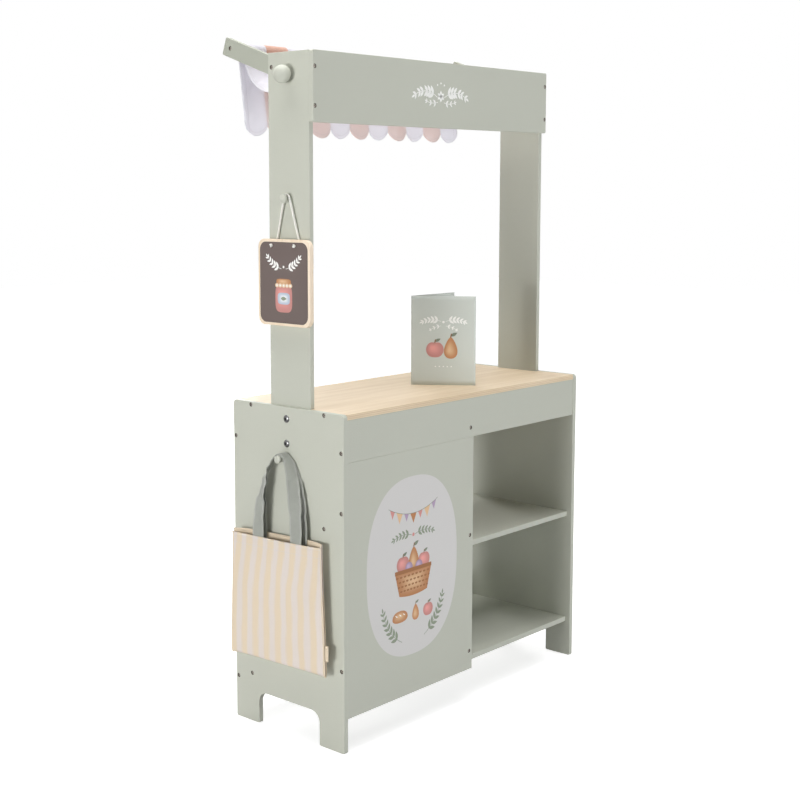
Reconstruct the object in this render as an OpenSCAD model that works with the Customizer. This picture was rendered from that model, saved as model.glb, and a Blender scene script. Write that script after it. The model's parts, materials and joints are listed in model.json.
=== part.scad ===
// Toy market stall: a counter with open shelves, two posts that carry a sign board and a
// tilting striped awning, and a hanging plaque, a tote bag and a folded menu card.
// The stall stands on the plane z = 0, its front faces -Y and its back faces +Y.

/* [Cabinet] */
// Width across the outer faces of the side panels
stall_w = 636; // [560:2:720]
// Depth of the side panels
stall_d = 250; // [230:2:300]
// Height of the counter's top face
counter_h = 542; // [500:1:600]
// Thickness of every board
board_t = 9; // [8:0.5:11]
// How far the front and back boards lie behind the side panels' edges
edge_inset = 1; // [0:0.5:3]
// Height of the arch under each side panel
leg_h = 55; // [40:1:60]
// Width of each foot
leg_w = 55; // [40:1:70]
// Radius of the arch's upper corners
arch_r = 18; // [8:1:26]
// Radius of the feet's corners
foot_r = 3; // [1:0.5:6]
// Radius of the side panels' upper corners
top_r = 6; // [2:0.5:10]

/* [Rails and front panel] */
// Height of each rail
rail_h = 67; // [50:1:80]
// Height of a rail's screws above its lower edge
rail_screw_up = 16; // [10:1:25]
// How far the front panel laps past the divider
panel_lap = 3.5; // [1:0.5:10]
// Distance of the front panel's side screws from its upper and lower edges
panel_screw_in = 79; // [30:1:120]
// Height of the lower divider screw above the front panel's lower edge
lap_screw_low = 33; // [15:1:80]
// Height of the upper divider screw above the front panel's lower edge
lap_screw_high = 239; // [150:1:300]

/* [Shelves] */
// Height of the right bay's middle shelf
right_mid_z = 280; // [240:1:310]
// Height of the right bay's bottom shelf
right_low_z = 74.5; // [70:0.5:78]
// Height of the left bay's middle shelf
left_mid_z = 361.5; // [330:0.5:400]
// Height of the left bay's bottom shelf
left_low_z = 87.5; // [82:0.5:95]
// Distance of the shelf screws from the middle of the stall's depth
shelf_screw_y = 82; // [50:1:95]
// Place in depth of the left middle shelf's rear screws
left_mid_rear_y = 62; // [30:1:95]
// Place in depth of the left bottom shelf's screws
left_low_rear_y = 86; // [30:1:95]
// Distance of the counter's screws from the middle of the stall's depth
counter_screw_y = 83; // [60:1:105]

/* [Posts and sign] */
// Height of the posts above the floor
stall_h = 1100; // [1040:1:1200]
// Depth of each post
post_d = 90; // [84:1:110]
// Length of each post below the counter's top face
post_foot = 79; // [72:1:110]
// Distance of the upper post bolts below the counter's top face
bolt_drop = 19; // [15:1:25]
// Distance between the two bolts of a post
bolt_gap = 40; // [30:1:45]
// Height of the sign board
sign_h = 110; // [90:1:130]
// Radius of the sign board's corners
sign_r = 3; // [1:0.5:8]
// Distance of the sign's screws from its upper and lower edges
sign_screw_in = 25; // [12:1:40]

/* [Awning] */
// Distance of the awning's pivot below the top of the posts
pivot_drop = 35.5; // [34:0.5:42]
// Slope of the awning's arms at rest, in degrees
arm_slope = 19.25; // [10:0.25:24]
// Length of an arm from its pivot to its outer end
arm_reach = 167; // [140:1:200]
// Width of an arm
arm_w = 29; // [26:0.5:34]
// Radius of the corners at an arm's outer end
arm_r = 3; // [1:0.5:6]
// Distance from an arm's outer end to the front bar's axis
bar_inset = 15.5; // [13:0.5:24]
// Radius of the front bar and of the rear bar
bar_r = 9; // [7:0.5:11]
// Distance from the pivot to the stop screw
stop_reach = 40; // [36:0.5:40]
// How far the awning can be raised from rest, in degrees
raise_deg = 10; // [4:1:12]
// How far the awning can be lowered from rest, in degrees
lower_deg = 19; // [10:1:20]
// Width of the wood left outside the stop slot
slot_wall = 4; // [3:0.5:5]

/* [Awning cloth] */
// Gap between the cloth's side hem and an arm
cloth_gap = 13; // [6:0.5:30]
// Thickness of the cloth
cloth_t = 1.2; // [0.8:0.1:2]
// Depth that the canopy drops behind the front bar before it turns inward
sag_front = 82; // [50:1:90]
// Depth that the canopy's rear end is drawn down
sag_rear = 35; // [20:1:45]
// How far the low part of the canopy lies behind the pivot
sag_out = 37; // [30:1:80]
// Number of stripes, each with one scallop
stripe_n = 11; // [7:2:15]
// Distance from the front bar's axis to the lowest point of the valance
valance_drop = 140; // [100:1:160]
// Depth of each scallop
scallop_d = 17; // [8:1:22]
// How far the valance leans towards the posts from its top to its hem
valance_lean = 16; // [0:1:20]
// Height of the waves at the valance's hem
wave_d = 3; // [0:0.5:4]

/* [Knobs and pegs] */
// Radius of a clamp knob's ball
knob_r = 15.5; // [12:0.5:17]
// Radius of the flat under a clamp knob's ball
knob_flat_r = 9; // [8:0.5:11]
// Radius of a clamp knob's neck
knob_neck_r = 7; // [6:0.5:8]
// Length of a clamp knob's neck
knob_neck_l = 2; // [1:0.5:6]
// Radius of the plaque peg's head
plaque_peg_r = 7; // [6:0.5:9]
// Length of the plaque peg's neck
plaque_peg_l = 10; // [9:0.5:16]
// Radius of the plaque peg's neck
plaque_neck_r = 4; // [3.5:0.25:5]
// Radius of the bag peg's head
bag_peg_r = 8; // [7:0.5:11]
// Length of the bag peg's neck
bag_peg_l = 20; // [19:0.5:28]
// Radius of the bag peg's neck
bag_neck_r = 5; // [4:0.25:6.5]
// Length of a peg's head
peg_head_l = 8; // [6:0.5:12]
// Radius of a peg's tenon
tenon_r = 3; // [2:0.25:3.5]
// Length of a peg's tenon
tenon_l = 7; // [4:0.5:7.5]

/* [Plaque] */
// Height of the plaque peg above the counter, as a share of the posts' height above it
plaque_peg_at = 0.5914; // [0.55:0.0002:0.65]
// Width of the plaque
plaque_w = 116; // [90:1:130]
// Height of the plaque
plaque_h = 137; // [100:1:160]
// Thickness of the plaque
plaque_t = 9; // [6:0.5:12]
// Radius of the plaque's corners
plaque_r = 13; // [4:1:20]
// Distance from the peg's axis to the plaque's upper edge
hang_drop = 63; // [40:1:90]
// Distance between the plaque's two cord holes
cord_hole_gap = 51; // [36:1:70]
// Distance of the cord holes below the plaque's upper edge
cord_hole_in = 10; // [8:0.5:16]
// Radius of the plaque's cord
cord_r = 1.6; // [1.2:0.1:1.8]
// Radius of the knots in front of the plaque
knot_r = 3.2; // [2.6:0.1:4]

/* [Tote bag] */
// Distance of the bag peg below the counter's top face
bag_peg_drop = 82; // [76:1:110]
// Width of the bag
bag_w = 213; // [170:1:226]
// Height of the bag
bag_h = 208; // [160:1:230]
// Thickness of the bag as it hangs
bag_t = 16; // [15:0.5:20]
// Thickness of the canvas
canvas_t = 1.2; // [0.8:0.1:1.5]
// Gap between the bag and the side panel
bag_gap = 6; // [3:0.5:10]
// Distance from the peg's axis to the bag's upper edge
bag_drop = 129; // [100:1:150]
// Radius of the bag's lower corners
bag_r = 4; // [2:0.5:10]
// Width of the webbing handles
webbing_w = 25; // [18:1:32]
// Thickness of the webbing
webbing_t = 1.4; // [1:0.1:1.6]
// Width of a handle where it is gathered over the peg
gather_w = 16; // [10:0.5:17]
// Half of the front handle's span at the bag
front_span = 45; // [36:1:47]
// How much wider the rear handle's half span is than the front handle's
span_step = 3; // [1:0.5:12]
// Gap between the two handles over the peg
strap_gap = 0.8; // [0.7:0.1:2]
// Length of webbing sewn inside the bag
sewn_l = 25; // [15:1:40]
// Length of the side tab
tab_l = 12; // [8:1:20]
// How far the side tab stands out of the seam
tab_out = 6; // [4:0.5:10]
// Height of the side tab above the bag's lower edge
tab_up = 28; // [15:1:60]

/* [Menu card] */
// Width of one leaf
leaf_w = 114; // [90:1:130]
// Height of the card
leaf_h = 158; // [120:1:180]
// Thickness of one leaf
leaf_t = 0.8; // [0.5:0.1:1.2]
// Place of the fold to the right of the stall's middle
fold_x = 7.5; // [-60:0.5:60]
// Place of the fold behind the stall's middle
fold_y = 17; // [0:0.5:40]
// Direction of the front leaf seen from above, in degrees
front_leaf_deg = -54; // [-60:1:-40]
// Angle between the two leaves at rest, in degrees
leaf_spread = 51; // [30:1:70]

/* [Fasteners and fits] */
// Radius of a wood screw's shank
screw_r = 1.75; // [1.25:0.05:2]
// Radius of a wood screw's head
screw_head_r = 3.4; // [2.8:0.1:3.8]
// Length of a wood screw
screw_l = 34; // [25:1:45]
// Depth of a screw's head below the board's face
screw_sink = 0.6; // [0.3:0.1:1]
// Radius of a post bolt's shank
bolt_r = 3; // [2.5:0.25:3.5]
// Radius of a post bolt's head
bolt_head_r = 6.25; // [4.5:0.25:7]
// Height of a post bolt's head
bolt_head_h = 2.6; // [1.8:0.2:4]
// Radius of the pivot bolts
pivot_r = 3; // [2.5:0.25:4]
// Length of a pivot bolt inside the rear bar
pivot_grip = 28; // [15:1:40]
// Radius of the stop screws
stop_r = 2.5; // [2:0.25:3]
// Radial clearance of glued and screwed pieces
seat_fit = 0.1; // [0.05:0.05:0.2]
// Radial clearance of the pivots
run_fit = 0.05; // [0.02:0.01:0.1]
// Gap between pieces that move past each other
free_gap = 0.3; // [0.2:0.05:0.5]

/* [Hidden] */

SAGE = [0.70, 0.72, 0.66];
BIRCH = [0.88, 0.80, 0.68];
STEEL = [0.30, 0.30, 0.29];
CHROME = [0.80, 0.80, 0.80];
CLOTH = [0.96, 0.90, 0.86];
CANVAS = [0.94, 0.86, 0.76];
WEBBING = [0.62, 0.65, 0.61];
CARD = [0.66, 0.69, 0.64];
CORD = [0.92, 0.90, 0.86];
PLAQUE = [0.80, 0.70, 0.60];

// Faces of the cabinet
half_w = stall_w / 2;
half_d = stall_d / 2;
inner_x = half_w - board_t;
post_x = inner_x - board_t;
arm_x = post_x - board_t;
counter_z = counter_h - board_t;
rail_z = counter_z - rail_h;
front_y = edge_inset - half_d;
front_in_y = front_y + board_t;
back_in_y = -front_in_y;
edge_y = front_y + board_t / 2;
divider_x = board_t / 2;
divider_z = leg_h;

// Post bolts, sign and pivot
bolt_zs = [counter_h - bolt_drop, counter_h - bolt_drop - bolt_gap];
nut_r = 5;
nut_h = 5;
sign_y = -post_d / 2;
sign_z = stall_h - sign_h;
sign_screw_x = inner_x - board_t / 2;
sign_screw_zs = [sign_z + sign_screw_in, stall_h - sign_screw_in];
pivot_z = stall_h - pivot_drop;

// Arm and bars, as [y, z] about the pivot at rest
arm_dir = [cos(arm_slope), sin(arm_slope)];
bar_at = (arm_reach - bar_inset) * arm_dir + [0, pivot_z];
stop_at = stop_reach * arm_dir + [0, pivot_z];
slot_half = stop_r + free_gap;
slot_play = 0.5;
ear_r = stop_reach + slot_half + slot_wall;
ear_margin = asin((slot_half + slot_wall) / stop_reach);

// Cloth
cloth_half = arm_x - cloth_gap;
stripe_w = 2 * cloth_half / stripe_n;
wrap_r = bar_r + free_gap + cloth_t / 2;
lean_ahead = 0.28;
valance_top = sqrt(pow(wrap_r + cloth_t / 2 + free_gap, 2) - pow(valance_lean * lean_ahead - cloth_t / 2, 2));
wrap_steps = 18;
sag_steps = 20;
scallop_steps = 8;
valance_rows = 4;

// Knob on the pivot bolt
knob_x = inner_x + free_gap;
knob_ball_z = knob_neck_l + sqrt(pow(knob_r, 2) - pow(knob_flat_r, 2));
knob_bore_l = knob_neck_l + knob_r;

// Plaque and its cord, whose route runs from the knot up to the peg in the plaque's own frame
plaque_peg_z = blend(counter_h, stall_h, plaque_peg_at);
cord_gap = 2 * cord_r + 0.8;
plaque_x = -inner_x - cord_gap;
plaque_top_z = plaque_peg_z - hang_drop;
cord_hole_z = plaque_top_z - cord_hole_in;
cord_x = -inner_x - cord_gap / 2;
cord_peg_x = -inner_x - plaque_peg_l / 2;
cord_peg_r = plaque_neck_r + free_gap + cord_r;
cord_bend_r = 2.5;
cord_sides = 8;

// Bag
bag_peg_z = counter_h - bag_peg_drop;
bag_x = -half_w - bag_gap;
bag_mid_x = bag_x - bag_t / 2;
bag_top_z = bag_peg_z - bag_drop;
bag_low_z = bag_top_z - bag_h;
front_strap_x = bag_x - bag_t + canvas_t + free_gap + webbing_t / 2;
rear_strap_x = bag_x - canvas_t - free_gap - webbing_t / 2;
gather_x = -half_w - bag_peg_l / 2;
front_crown = bag_neck_r + free_gap + webbing_t / 2;
rear_crown = front_crown + webbing_t + strap_gap;
strap_steps = 16;

// Places of the screws through the side panels, as [y, z]
counter_screws = [for (s = [-1, 1]) [s * counter_screw_y, counter_z + board_t / 2]];
front_rail_screws = [[edge_y, rail_z + rail_screw_up]];
back_rail_screws = [[-edge_y, rail_z + rail_screw_up]];
low_rail_screws = [[-edge_y, leg_h + rail_screw_up]];
panel_screws = [for (z = [leg_h + panel_screw_in, rail_z - panel_screw_in]) [edge_y, z]];
left_mid_screws = [for (y = [-shelf_screw_y, left_mid_rear_y]) [y, left_mid_z - board_t / 2]];
left_low_screws = [[left_low_rear_y, left_low_z - board_t / 2]];
right_mid_screws = [for (s = [-1, 1]) [s * shelf_screw_y, right_mid_z - board_t / 2]];
right_low_screws = [for (s = [-1, 1]) [s * shelf_screw_y, right_low_z - board_t / 2]];
both_screws = concat(counter_screws, front_rail_screws, back_rail_screws, low_rail_screws);
left_screws = concat(both_screws, panel_screws, left_mid_screws, left_low_screws);
right_screws = concat(both_screws, right_mid_screws, right_low_screws);

// Heights of the screws through the front and back boards into the divider
front_panel_zs = [leg_h + lap_screw_low, leg_h + lap_screw_high];
rail_screw_z = rail_z + rail_screw_up;
low_rail_screw_z = leg_h + rail_screw_up;

$fn = 48;

// Points of an arc in a plane
function arc(c, r, a0, a1, n = 8) =
    [for (i = [0:n]) let (a = a0 + (a1 - a0) * i / n) c + r * [cos(a), sin(a)]];

// Corner points of a rectangle with rounded corners
function rounded(x0, x1, y0, y1, r) = concat(
    arc([x1 - r, y1 - r], r, 0, 90), arc([x0 + r, y1 - r], r, 90, 180),
    arc([x0 + r, y0 + r], r, 180, 270), arc([x1 - r, y0 + r], r, 270, 360));

function unit(v) = v / norm(v);
function ease(t) = t * t * (3 - 2 * t);
function blend(a, b, t) = a + (b - a) * t;

// Outline of a strip of thickness t along a line of points in a plane
function strip_normal(p, i) =
    let (d = unit(p[min(i + 1, len(p) - 1)] - p[max(i - 1, 0)])) [-d[1], d[0]];
function strip(p, t) = concat(
    [for (i = [0:len(p) - 1]) p[i] + strip_normal(p, i) * t / 2],
    [for (i = [len(p) - 1:-1:0]) p[i] - strip_normal(p, i) * t / 2]);

// Faces of a tube built from n rings of m points each, closed at both ends
function tube_faces(n, m) = concat(
    [for (i = [0:n - 2], j = [0:m - 1], k = [0, 1])
        let (a = i * m + j, b = i * m + (j + 1) % m)
        k == 0 ? [a, a + m, b] : [b, a + m, b + m]],
    [for (j = [1:m - 2]) [0, j, j + 1]],
    [for (j = [1:m - 2]) let (e = (n - 1) * m) [e, e + j + 1, e + j]]);

// Direction of a route at one of its points
function route_dir(p, i) = unit(p[min(i + 1, len(p) - 1)] - p[max(i - 1, 0)]);

// Box between two opposite corners
module block(x0, x1, y0, y1, z0, z1) {
    translate([x0, y0, z0]) cube([x1 - x0, y1 - y0, z1 - z0]);
}

// Turns a drawing in [y, z] into a board that is t thick from x0 on
module extrude_x(x0, t) {
    translate([x0, 0, 0]) rotate([90, 0, 90]) linear_extrude(t) children();
}

// Points a shape drawn along +Z along +X or -X
module along_x(dir) {
    rotate([0, 90 * dir, 0]) children();
}

// Countersunk wood screw along +Z from the face z = 0, or the hole for it
module screw(r = screw_r, l = screw_l) {
    head_h = screw_head_r - r;
    rotate_extrude() polygon([[0, screw_sink], [screw_head_r, screw_sink],
        [r, screw_sink + head_h], [r, l], [0, l]]);
}

module screw_hole(r = screw_r, l = screw_l) {
    head_h = screw_head_r - r;
    rotate_extrude() polygon([[0, -1], [screw_head_r + seat_fit, -1],
        [screw_head_r + seat_fit, screw_sink], [r + seat_fit, screw_sink + head_h],
        [r + seat_fit, l + seat_fit], [0, l + seat_fit]]);
}

// Puts children at each screw place of one side panel, pointing inward
module at_side(side, places) {
    for (p = places) translate([side * half_w, p[0], p[1]]) along_x(-side) children();
}

// Puts children on the front face, or the back face, at the divider
module at_divider(side, zs) {
    for (z = zs) translate([0, side * front_y, z]) rotate([-90 * side, 0, 0]) children();
}

// Puts children on the divider's face at the screws of one bay's shelves, pointing into that bay
module at_shelves(side, places) {
    for (p = places) translate([-side * divider_x, p[0], p[1]]) along_x(side) children();
}

// Puts children on the sign's face at its screws
module at_sign() {
    for (s = [-1, 1], z = sign_screw_zs)
        translate([s * sign_screw_x, sign_y - board_t, z]) rotate([-90, 0, 0]) children();
}

// Puts children on a side panel's face at the post bolts, pointing inward
module at_bolts(side) {
    for (z = bolt_zs) translate([side * half_w, 0, z]) along_x(-side) children();
}

// Turned peg along +Z: a neck, and a head with a rounded rim and a shallow dome
module turned(neck_r, neck_l, head_r, head_l) {
    rim = head_l / 4;
    rotate_extrude() polygon(concat([[0, 0], [neck_r, 0], [neck_r, neck_l - rim]],
        arc([head_r - rim, neck_l + rim], rim, -90, 0, 5),
        arc([head_r - rim, neck_l + head_l - 2 * rim], rim, 0, 70, 5),
        [[0, neck_l + head_l]]));
}

module peg(neck_r, neck_l, head_r) {
    turned(neck_r, neck_l, head_r, peg_head_l);
    translate([0, 0, -tenon_l]) cylinder(r = tenon_r, h = tenon_l + 1);
}

// Side panel with its leg arch and its screw and bolt holes
module side_panel(side, places) {
    difference() {
        extrude_x(side > 0 ? inner_x : -half_w, board_t) polygon(concat(
            arc([foot_r - half_d, foot_r], foot_r, 180, 270),
            arc([leg_w - foot_r - half_d, foot_r], foot_r, 270, 360),
            arc([leg_w + arch_r - half_d, leg_h - arch_r], arch_r, 180, 90),
            arc([half_d - leg_w - arch_r, leg_h - arch_r], arch_r, 90, 0),
            arc([half_d - leg_w + foot_r, foot_r], foot_r, 180, 270),
            arc([half_d - foot_r, foot_r], foot_r, 270, 360),
            arc([half_d - top_r, counter_h - top_r], top_r, 0, 90),
            arc([top_r - half_d, counter_h - top_r], top_r, 90, 180)));
        at_side(side, places) screw_hole();
        at_bolts(side) translate([0, 0, -1]) cylinder(r = bolt_r + seat_fit, h = board_t + 2);
    }
}

module left_side_panel() {
    color(SAGE) difference() {
        side_panel(-1, left_screws);
        translate([-half_w, 0, bag_peg_z]) along_x(1)
            translate([0, 0, -1]) cylinder(r = tenon_r + seat_fit, h = tenon_l + 1 + seat_fit);
    }
}

module right_side_panel() {
    color(SAGE) side_panel(1, right_screws);
}

// Counter between the side panels, notched round the posts
module counter_top() {
    notch_y = post_d / 2 + seat_fit;
    color(BIRCH) difference() {
        block(-inner_x, inner_x, front_y, -front_y, counter_z, counter_h);
        for (s = [-1, 1]) {
            mirror([s > 0 ? 0 : 1, 0, 0])
                block(post_x - seat_fit, inner_x + 1, -notch_y, notch_y, counter_z - 1, counter_h + 1);
            at_side(s, counter_screws) screw_hole();
        }
    }
}

// Rail across the stall, in front or at the back, screwed to the panels and the divider
module rail(side, z0, places, screw_z) {
    y0 = side > 0 ? front_y : back_in_y;
    color(SAGE) difference() {
        block(-inner_x, inner_x, y0, y0 + board_t, z0, z0 + rail_h);
        for (s = [-1, 1]) at_side(s, places) screw_hole();
        at_divider(side, [screw_z]) screw_hole();
    }
}

module front_rail() {
    rail(1, rail_z, front_rail_screws, rail_screw_z);
}

module back_rail() {
    rail(-1, rail_z, back_rail_screws, rail_screw_z);
}

module low_back_rail() {
    rail(-1, leg_h, low_rail_screws, low_rail_screw_z);
}

// Panel that closes the left bay to the front
module front_panel() {
    color(SAGE) difference() {
        block(-inner_x, divider_x + panel_lap, front_y, front_in_y, leg_h, rail_z);
        at_side(-1, panel_screws) screw_hole();
        at_divider(1, front_panel_zs) screw_hole();
    }
}

// Upright between the two bays
module divider_panel() {
    color(SAGE) difference() {
        block(-divider_x, divider_x, front_in_y, back_in_y, divider_z, counter_z);
        at_divider(1, concat(front_panel_zs, [rail_screw_z])) screw_hole();
        at_divider(-1, [rail_screw_z, low_rail_screw_z]) screw_hole();
        at_shelves(1, concat(right_mid_screws, right_low_screws)) screw_hole();
        at_shelves(-1, concat(left_mid_screws, left_low_screws)) screw_hole();
    }
}

// Shelf of one bay, between the divider and the side panel
module shelf(side, top_z, places) {
    color(SAGE) difference() {
        mirror([side > 0 ? 0 : 1, 0, 0])
            block(divider_x, inner_x, front_in_y, back_in_y, top_z - board_t, top_z);
        at_side(side, places) screw_hole();
        at_shelves(side, places) screw_hole();
    }
}

module left_mid_shelf() {
    shelf(-1, left_mid_z, left_mid_screws);
}

module left_low_shelf() {
    shelf(-1, left_low_z, left_low_screws);
}

module right_mid_shelf() {
    shelf(1, right_mid_z, right_mid_screws);
}

module right_low_shelf() {
    shelf(1, right_low_z, right_low_screws);
}

// Post inside a side panel, with the bores for its bolts, the sign, the pivot and the stop screw
module post(side) {
    difference() {
        mirror([side > 0 ? 0 : 1, 0, 0])
            block(post_x, inner_x, -post_d / 2, post_d / 2, counter_h - post_foot, stall_h);
        at_bolts(side) cylinder(r = bolt_r + seat_fit, h = 2 * board_t + 1);
        at_sign() screw_hole();
        translate([side * (inner_x + 1), 0, pivot_z]) along_x(-side)
            cylinder(r = pivot_r + run_fit, h = board_t + 2);
        at_stop(side) screw_hole(stop_r, 2 * board_t);
    }
}

// Puts children on the post's outer face at the stop screw
module at_stop(side) {
    translate([side * inner_x, stop_at[0], stop_at[1]]) along_x(-side) children();
}

module left_post() {
    color(SAGE) difference() {
        post(-1);
        translate([-inner_x, 0, plaque_peg_z]) along_x(1)
            translate([0, 0, -1]) cylinder(r = tenon_r + seat_fit, h = tenon_l + 1 + seat_fit);
    }
}

module right_post() {
    color(SAGE) post(1);
}

// Bare sign board across the front of the posts
module sign_board() {
    color(SAGE) difference() {
        translate([0, sign_y, 0]) rotate([90, 0, 0]) linear_extrude(board_t)
            polygon(rounded(-inner_x, inner_x, sign_z, stall_h, sign_r));
        at_sign() screw_hole();
    }
}

// Slot for the stop screw: a band about the pivot with round ends
function stop_slot(low, high) = concat(
    arc([0, 0], stop_reach + slot_half, low, high, 12),
    arc(stop_reach * [cos(high), sin(high)], slot_half, high + 30, high + 150, 4),
    arc([0, 0], stop_reach - slot_half, high, low, 12),
    arc(stop_reach * [cos(low), sin(low)], slot_half, low + 210, low + 330, 4));

// Outline of an arm along the first axis: a bar with a round end and an ear round the stop slot
module arm_outline() {
    low = -raise_deg - slot_play;
    high = lower_deg + slot_play;
    difference() {
        union() {
            polygon(concat([[0, -arm_w / 2]],
                arc([arm_reach - arm_r, arm_r - arm_w / 2], arm_r, 270, 360),
                arc([arm_reach - arm_r, arm_w / 2 - arm_r], arm_r, 0, 90),
                arc([0, 0], arm_w / 2, 90, 255, 15)));
            polygon(concat([[0, 0]], arc([0, 0], ear_r, low - ear_margin, high + ear_margin, 16)));
        }
        polygon(stop_slot(low, high));
    }
}

// Arm on a post's inner face, turning about the pivot bolt
module arm(side) {
    color(SAGE) difference() {
        extrude_x(side > 0 ? arm_x : -post_x, board_t)
            translate([0, pivot_z]) rotate(arm_slope) arm_outline();
        translate([side * (post_x + 1), 0, pivot_z]) along_x(-side)
            cylinder(r = pivot_r + seat_fit, h = board_t + 2);
        at_bar(side) screw_hole();
    }
}

// Puts children on an arm's outer face at the front bar's axis
module at_bar(side) {
    translate([side * post_x, bar_at[0], bar_at[1]]) along_x(-side) children();
}

module left_arm() {
    arm(-1);
}

module right_arm() {
    arm(1);
}

// Round bar between the arms' outer ends
module front_bar() {
    color(BIRCH) difference() {
        translate([-arm_x, bar_at[0], bar_at[1]]) along_x(1) cylinder(r = bar_r, h = 2 * arm_x);
        for (s = [-1, 1]) at_bar(s) screw_hole();
    }
}

// Round bar on the pivot's axis, which the pivot bolts hold
module rear_bar() {
    color(BIRCH) difference() {
        translate([-arm_x, 0, pivot_z]) along_x(1) cylinder(r = bar_r, h = 2 * arm_x);
        for (s = [-1, 1]) translate([s * (arm_x + 1), 0, pivot_z]) along_x(-s)
            cylinder(r = pivot_r + seat_fit, h = pivot_grip + 1 + seat_fit);
    }
}

// Line of the canopy from its pocket on the rear bar, down the sag, to its pocket on the front bar
function sag(t) =
    let (a = [wrap_r, pivot_z], d = [bar_at[0] - wrap_r, bar_at[1]],
        b = [sag_out, pivot_z - sag_rear], c = d - [0, sag_front])
    pow(1 - t, 3) * a + 3 * pow(1 - t, 2) * t * b + 3 * (1 - t) * t * t * c + pow(t, 3) * d;
canopy_line = concat(
    arc([0, pivot_z], wrap_r, 300, 360 / wrap_steps, wrap_steps),
    [for (i = [0:sag_steps]) sag(i / sag_steps)],
    [for (p = arc(bar_at, wrap_r, 180, -75, wrap_steps)) if (p[0] > bar_at[0] - wrap_r + 0.01) p]);

module awning_canopy() {
    color(CLOTH) extrude_x(-cloth_half, 2 * cloth_half) polygon(strip(canopy_line, cloth_t));
}

// Valance: a sheet under the front bar with one scallop a stripe and waves that grow to the hem
function hem(u) = valance_drop - scallop_d * (1 - sin(180 * u));
function valance_point(i, j, side) =
    let (u = i / scallop_steps, down = blend(valance_top, hem(u - floor(u)), j / valance_rows),
        grow = (down - valance_top) / (valance_drop - valance_top),
        wave = wave_d * pow(grow, 2) * sin(180 * u))
    [u * stripe_w - cloth_half,
        bar_at[0] + valance_lean * (lean_ahead - grow) + wave + side * cloth_t / 2,
        bar_at[1] - down];

module awning_valance() {
    n = stripe_n * scallop_steps;
    m = 2 * (valance_rows + 1);
    points = [for (i = [0:n], k = [0:m - 1])
        k <= valance_rows ? valance_point(i, k, -1) : valance_point(i, m - 1 - k, 1)];
    color(CLOTH) polyhedron(points, tube_faces(n + 1, m));
}

// Ball on a short neck along +Z, flat where it faces the post
module ball_knob() {
    cylinder(r = knob_neck_r, h = knob_ball_z);
    intersection() {
        translate([0, 0, knob_ball_z]) sphere(r = knob_r);
        translate([0, 0, knob_neck_l]) cylinder(r = knob_r + 1, h = 2 * knob_r);
    }
}

// Clamp knob outside a post, threaded on the pivot bolt
module knob(side) {
    color(SAGE) difference() {
        translate([side * knob_x, 0, pivot_z]) along_x(side) ball_knob();
        translate([side * (knob_x - 1), 0, pivot_z]) along_x(side)
            cylinder(r = pivot_r + run_fit, h = knob_bore_l + 1 + free_gap);
    }
}

module left_knob() {
    knob(-1);
}

module right_knob() {
    knob(1);
}

// Bolt through a knob, a post and an arm into the rear bar
module pivot_bolt(side) {
    color(STEEL) translate([side * (arm_x - pivot_grip), 0, pivot_z]) along_x(side)
        cylinder(r = pivot_r, h = knob_x + knob_bore_l - arm_x + pivot_grip);
}

module left_pivot_bolt() {
    pivot_bolt(-1);
}

module right_pivot_bolt() {
    pivot_bolt(1);
}

// Screws fixed in the posts, which run in the arms' slots and stop them
module stop_screws() {
    color(STEEL) for (s = [-1, 1]) at_stop(s) screw(stop_r, 2 * board_t);
}

module plaque_peg() {
    color(SAGE) translate([-inner_x, 0, plaque_peg_z]) along_x(-1)
        peg(plaque_neck_r, plaque_peg_l, plaque_peg_r);
}

// Board that hangs from the peg by its cord
module plaque_board() {
    color(PLAQUE) difference() {
        extrude_x(plaque_x - plaque_t, plaque_t)
            polygon(rounded(-plaque_w / 2, plaque_w / 2, plaque_top_z - plaque_h, plaque_top_z, plaque_r));
        for (s = [-1, 1]) translate([plaque_x + 1, s * cord_hole_gap / 2, cord_hole_z]) along_x(-1)
            cylinder(r = cord_r + seat_fit, h = plaque_t + 2);
    }
}

// Cord from one knot, through its hole, behind the board and over the peg, and down again
cord_leg = concat([[plaque_x - plaque_t - 2, cord_hole_gap / 2, cord_hole_z]],
    [for (a = [0:22.5:90]) [cord_x - cord_bend_r * (1 - sin(a)), cord_hole_gap / 2,
        cord_hole_z + cord_bend_r * (1 - cos(a))]],
    [[cord_x, cord_hole_gap / 2 - 1, cord_hole_z + 8]]);
cord_top = [for (p = arc([0, plaque_peg_z], cord_peg_r, 15, 165, 10)) [cord_peg_x, p[0], p[1]]];
cord_route = concat(cord_leg, cord_top,
    [for (i = [len(cord_leg) - 1:-1:0]) [cord_leg[i][0], -cord_leg[i][1], cord_leg[i][2]]]);

function ring_points(p, i, r, m) =
    let (d = route_dir(p, i), side = unit(cross(d, [-0.6, 0, 0.8])), up = cross(d, side))
    [for (j = [0:m - 1]) p[i] + r * (cos(360 * j / m) * side + sin(360 * j / m) * up)];

module plaque_cord() {
    color(CORD) {
        polyhedron([for (i = [0:len(cord_route) - 1]) each ring_points(cord_route, i, cord_r, cord_sides)],
            tube_faces(len(cord_route), cord_sides));
        for (s = [-1, 1]) translate([plaque_x - plaque_t - knot_r, s * cord_hole_gap / 2, cord_hole_z])
            sphere(r = knot_r, $fn = 32);
    }
}

module bag_peg() {
    color(SAGE) translate([-half_w, 0, bag_peg_z]) along_x(-1)
        peg(bag_neck_r, bag_peg_l, bag_peg_r);
}

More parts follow.
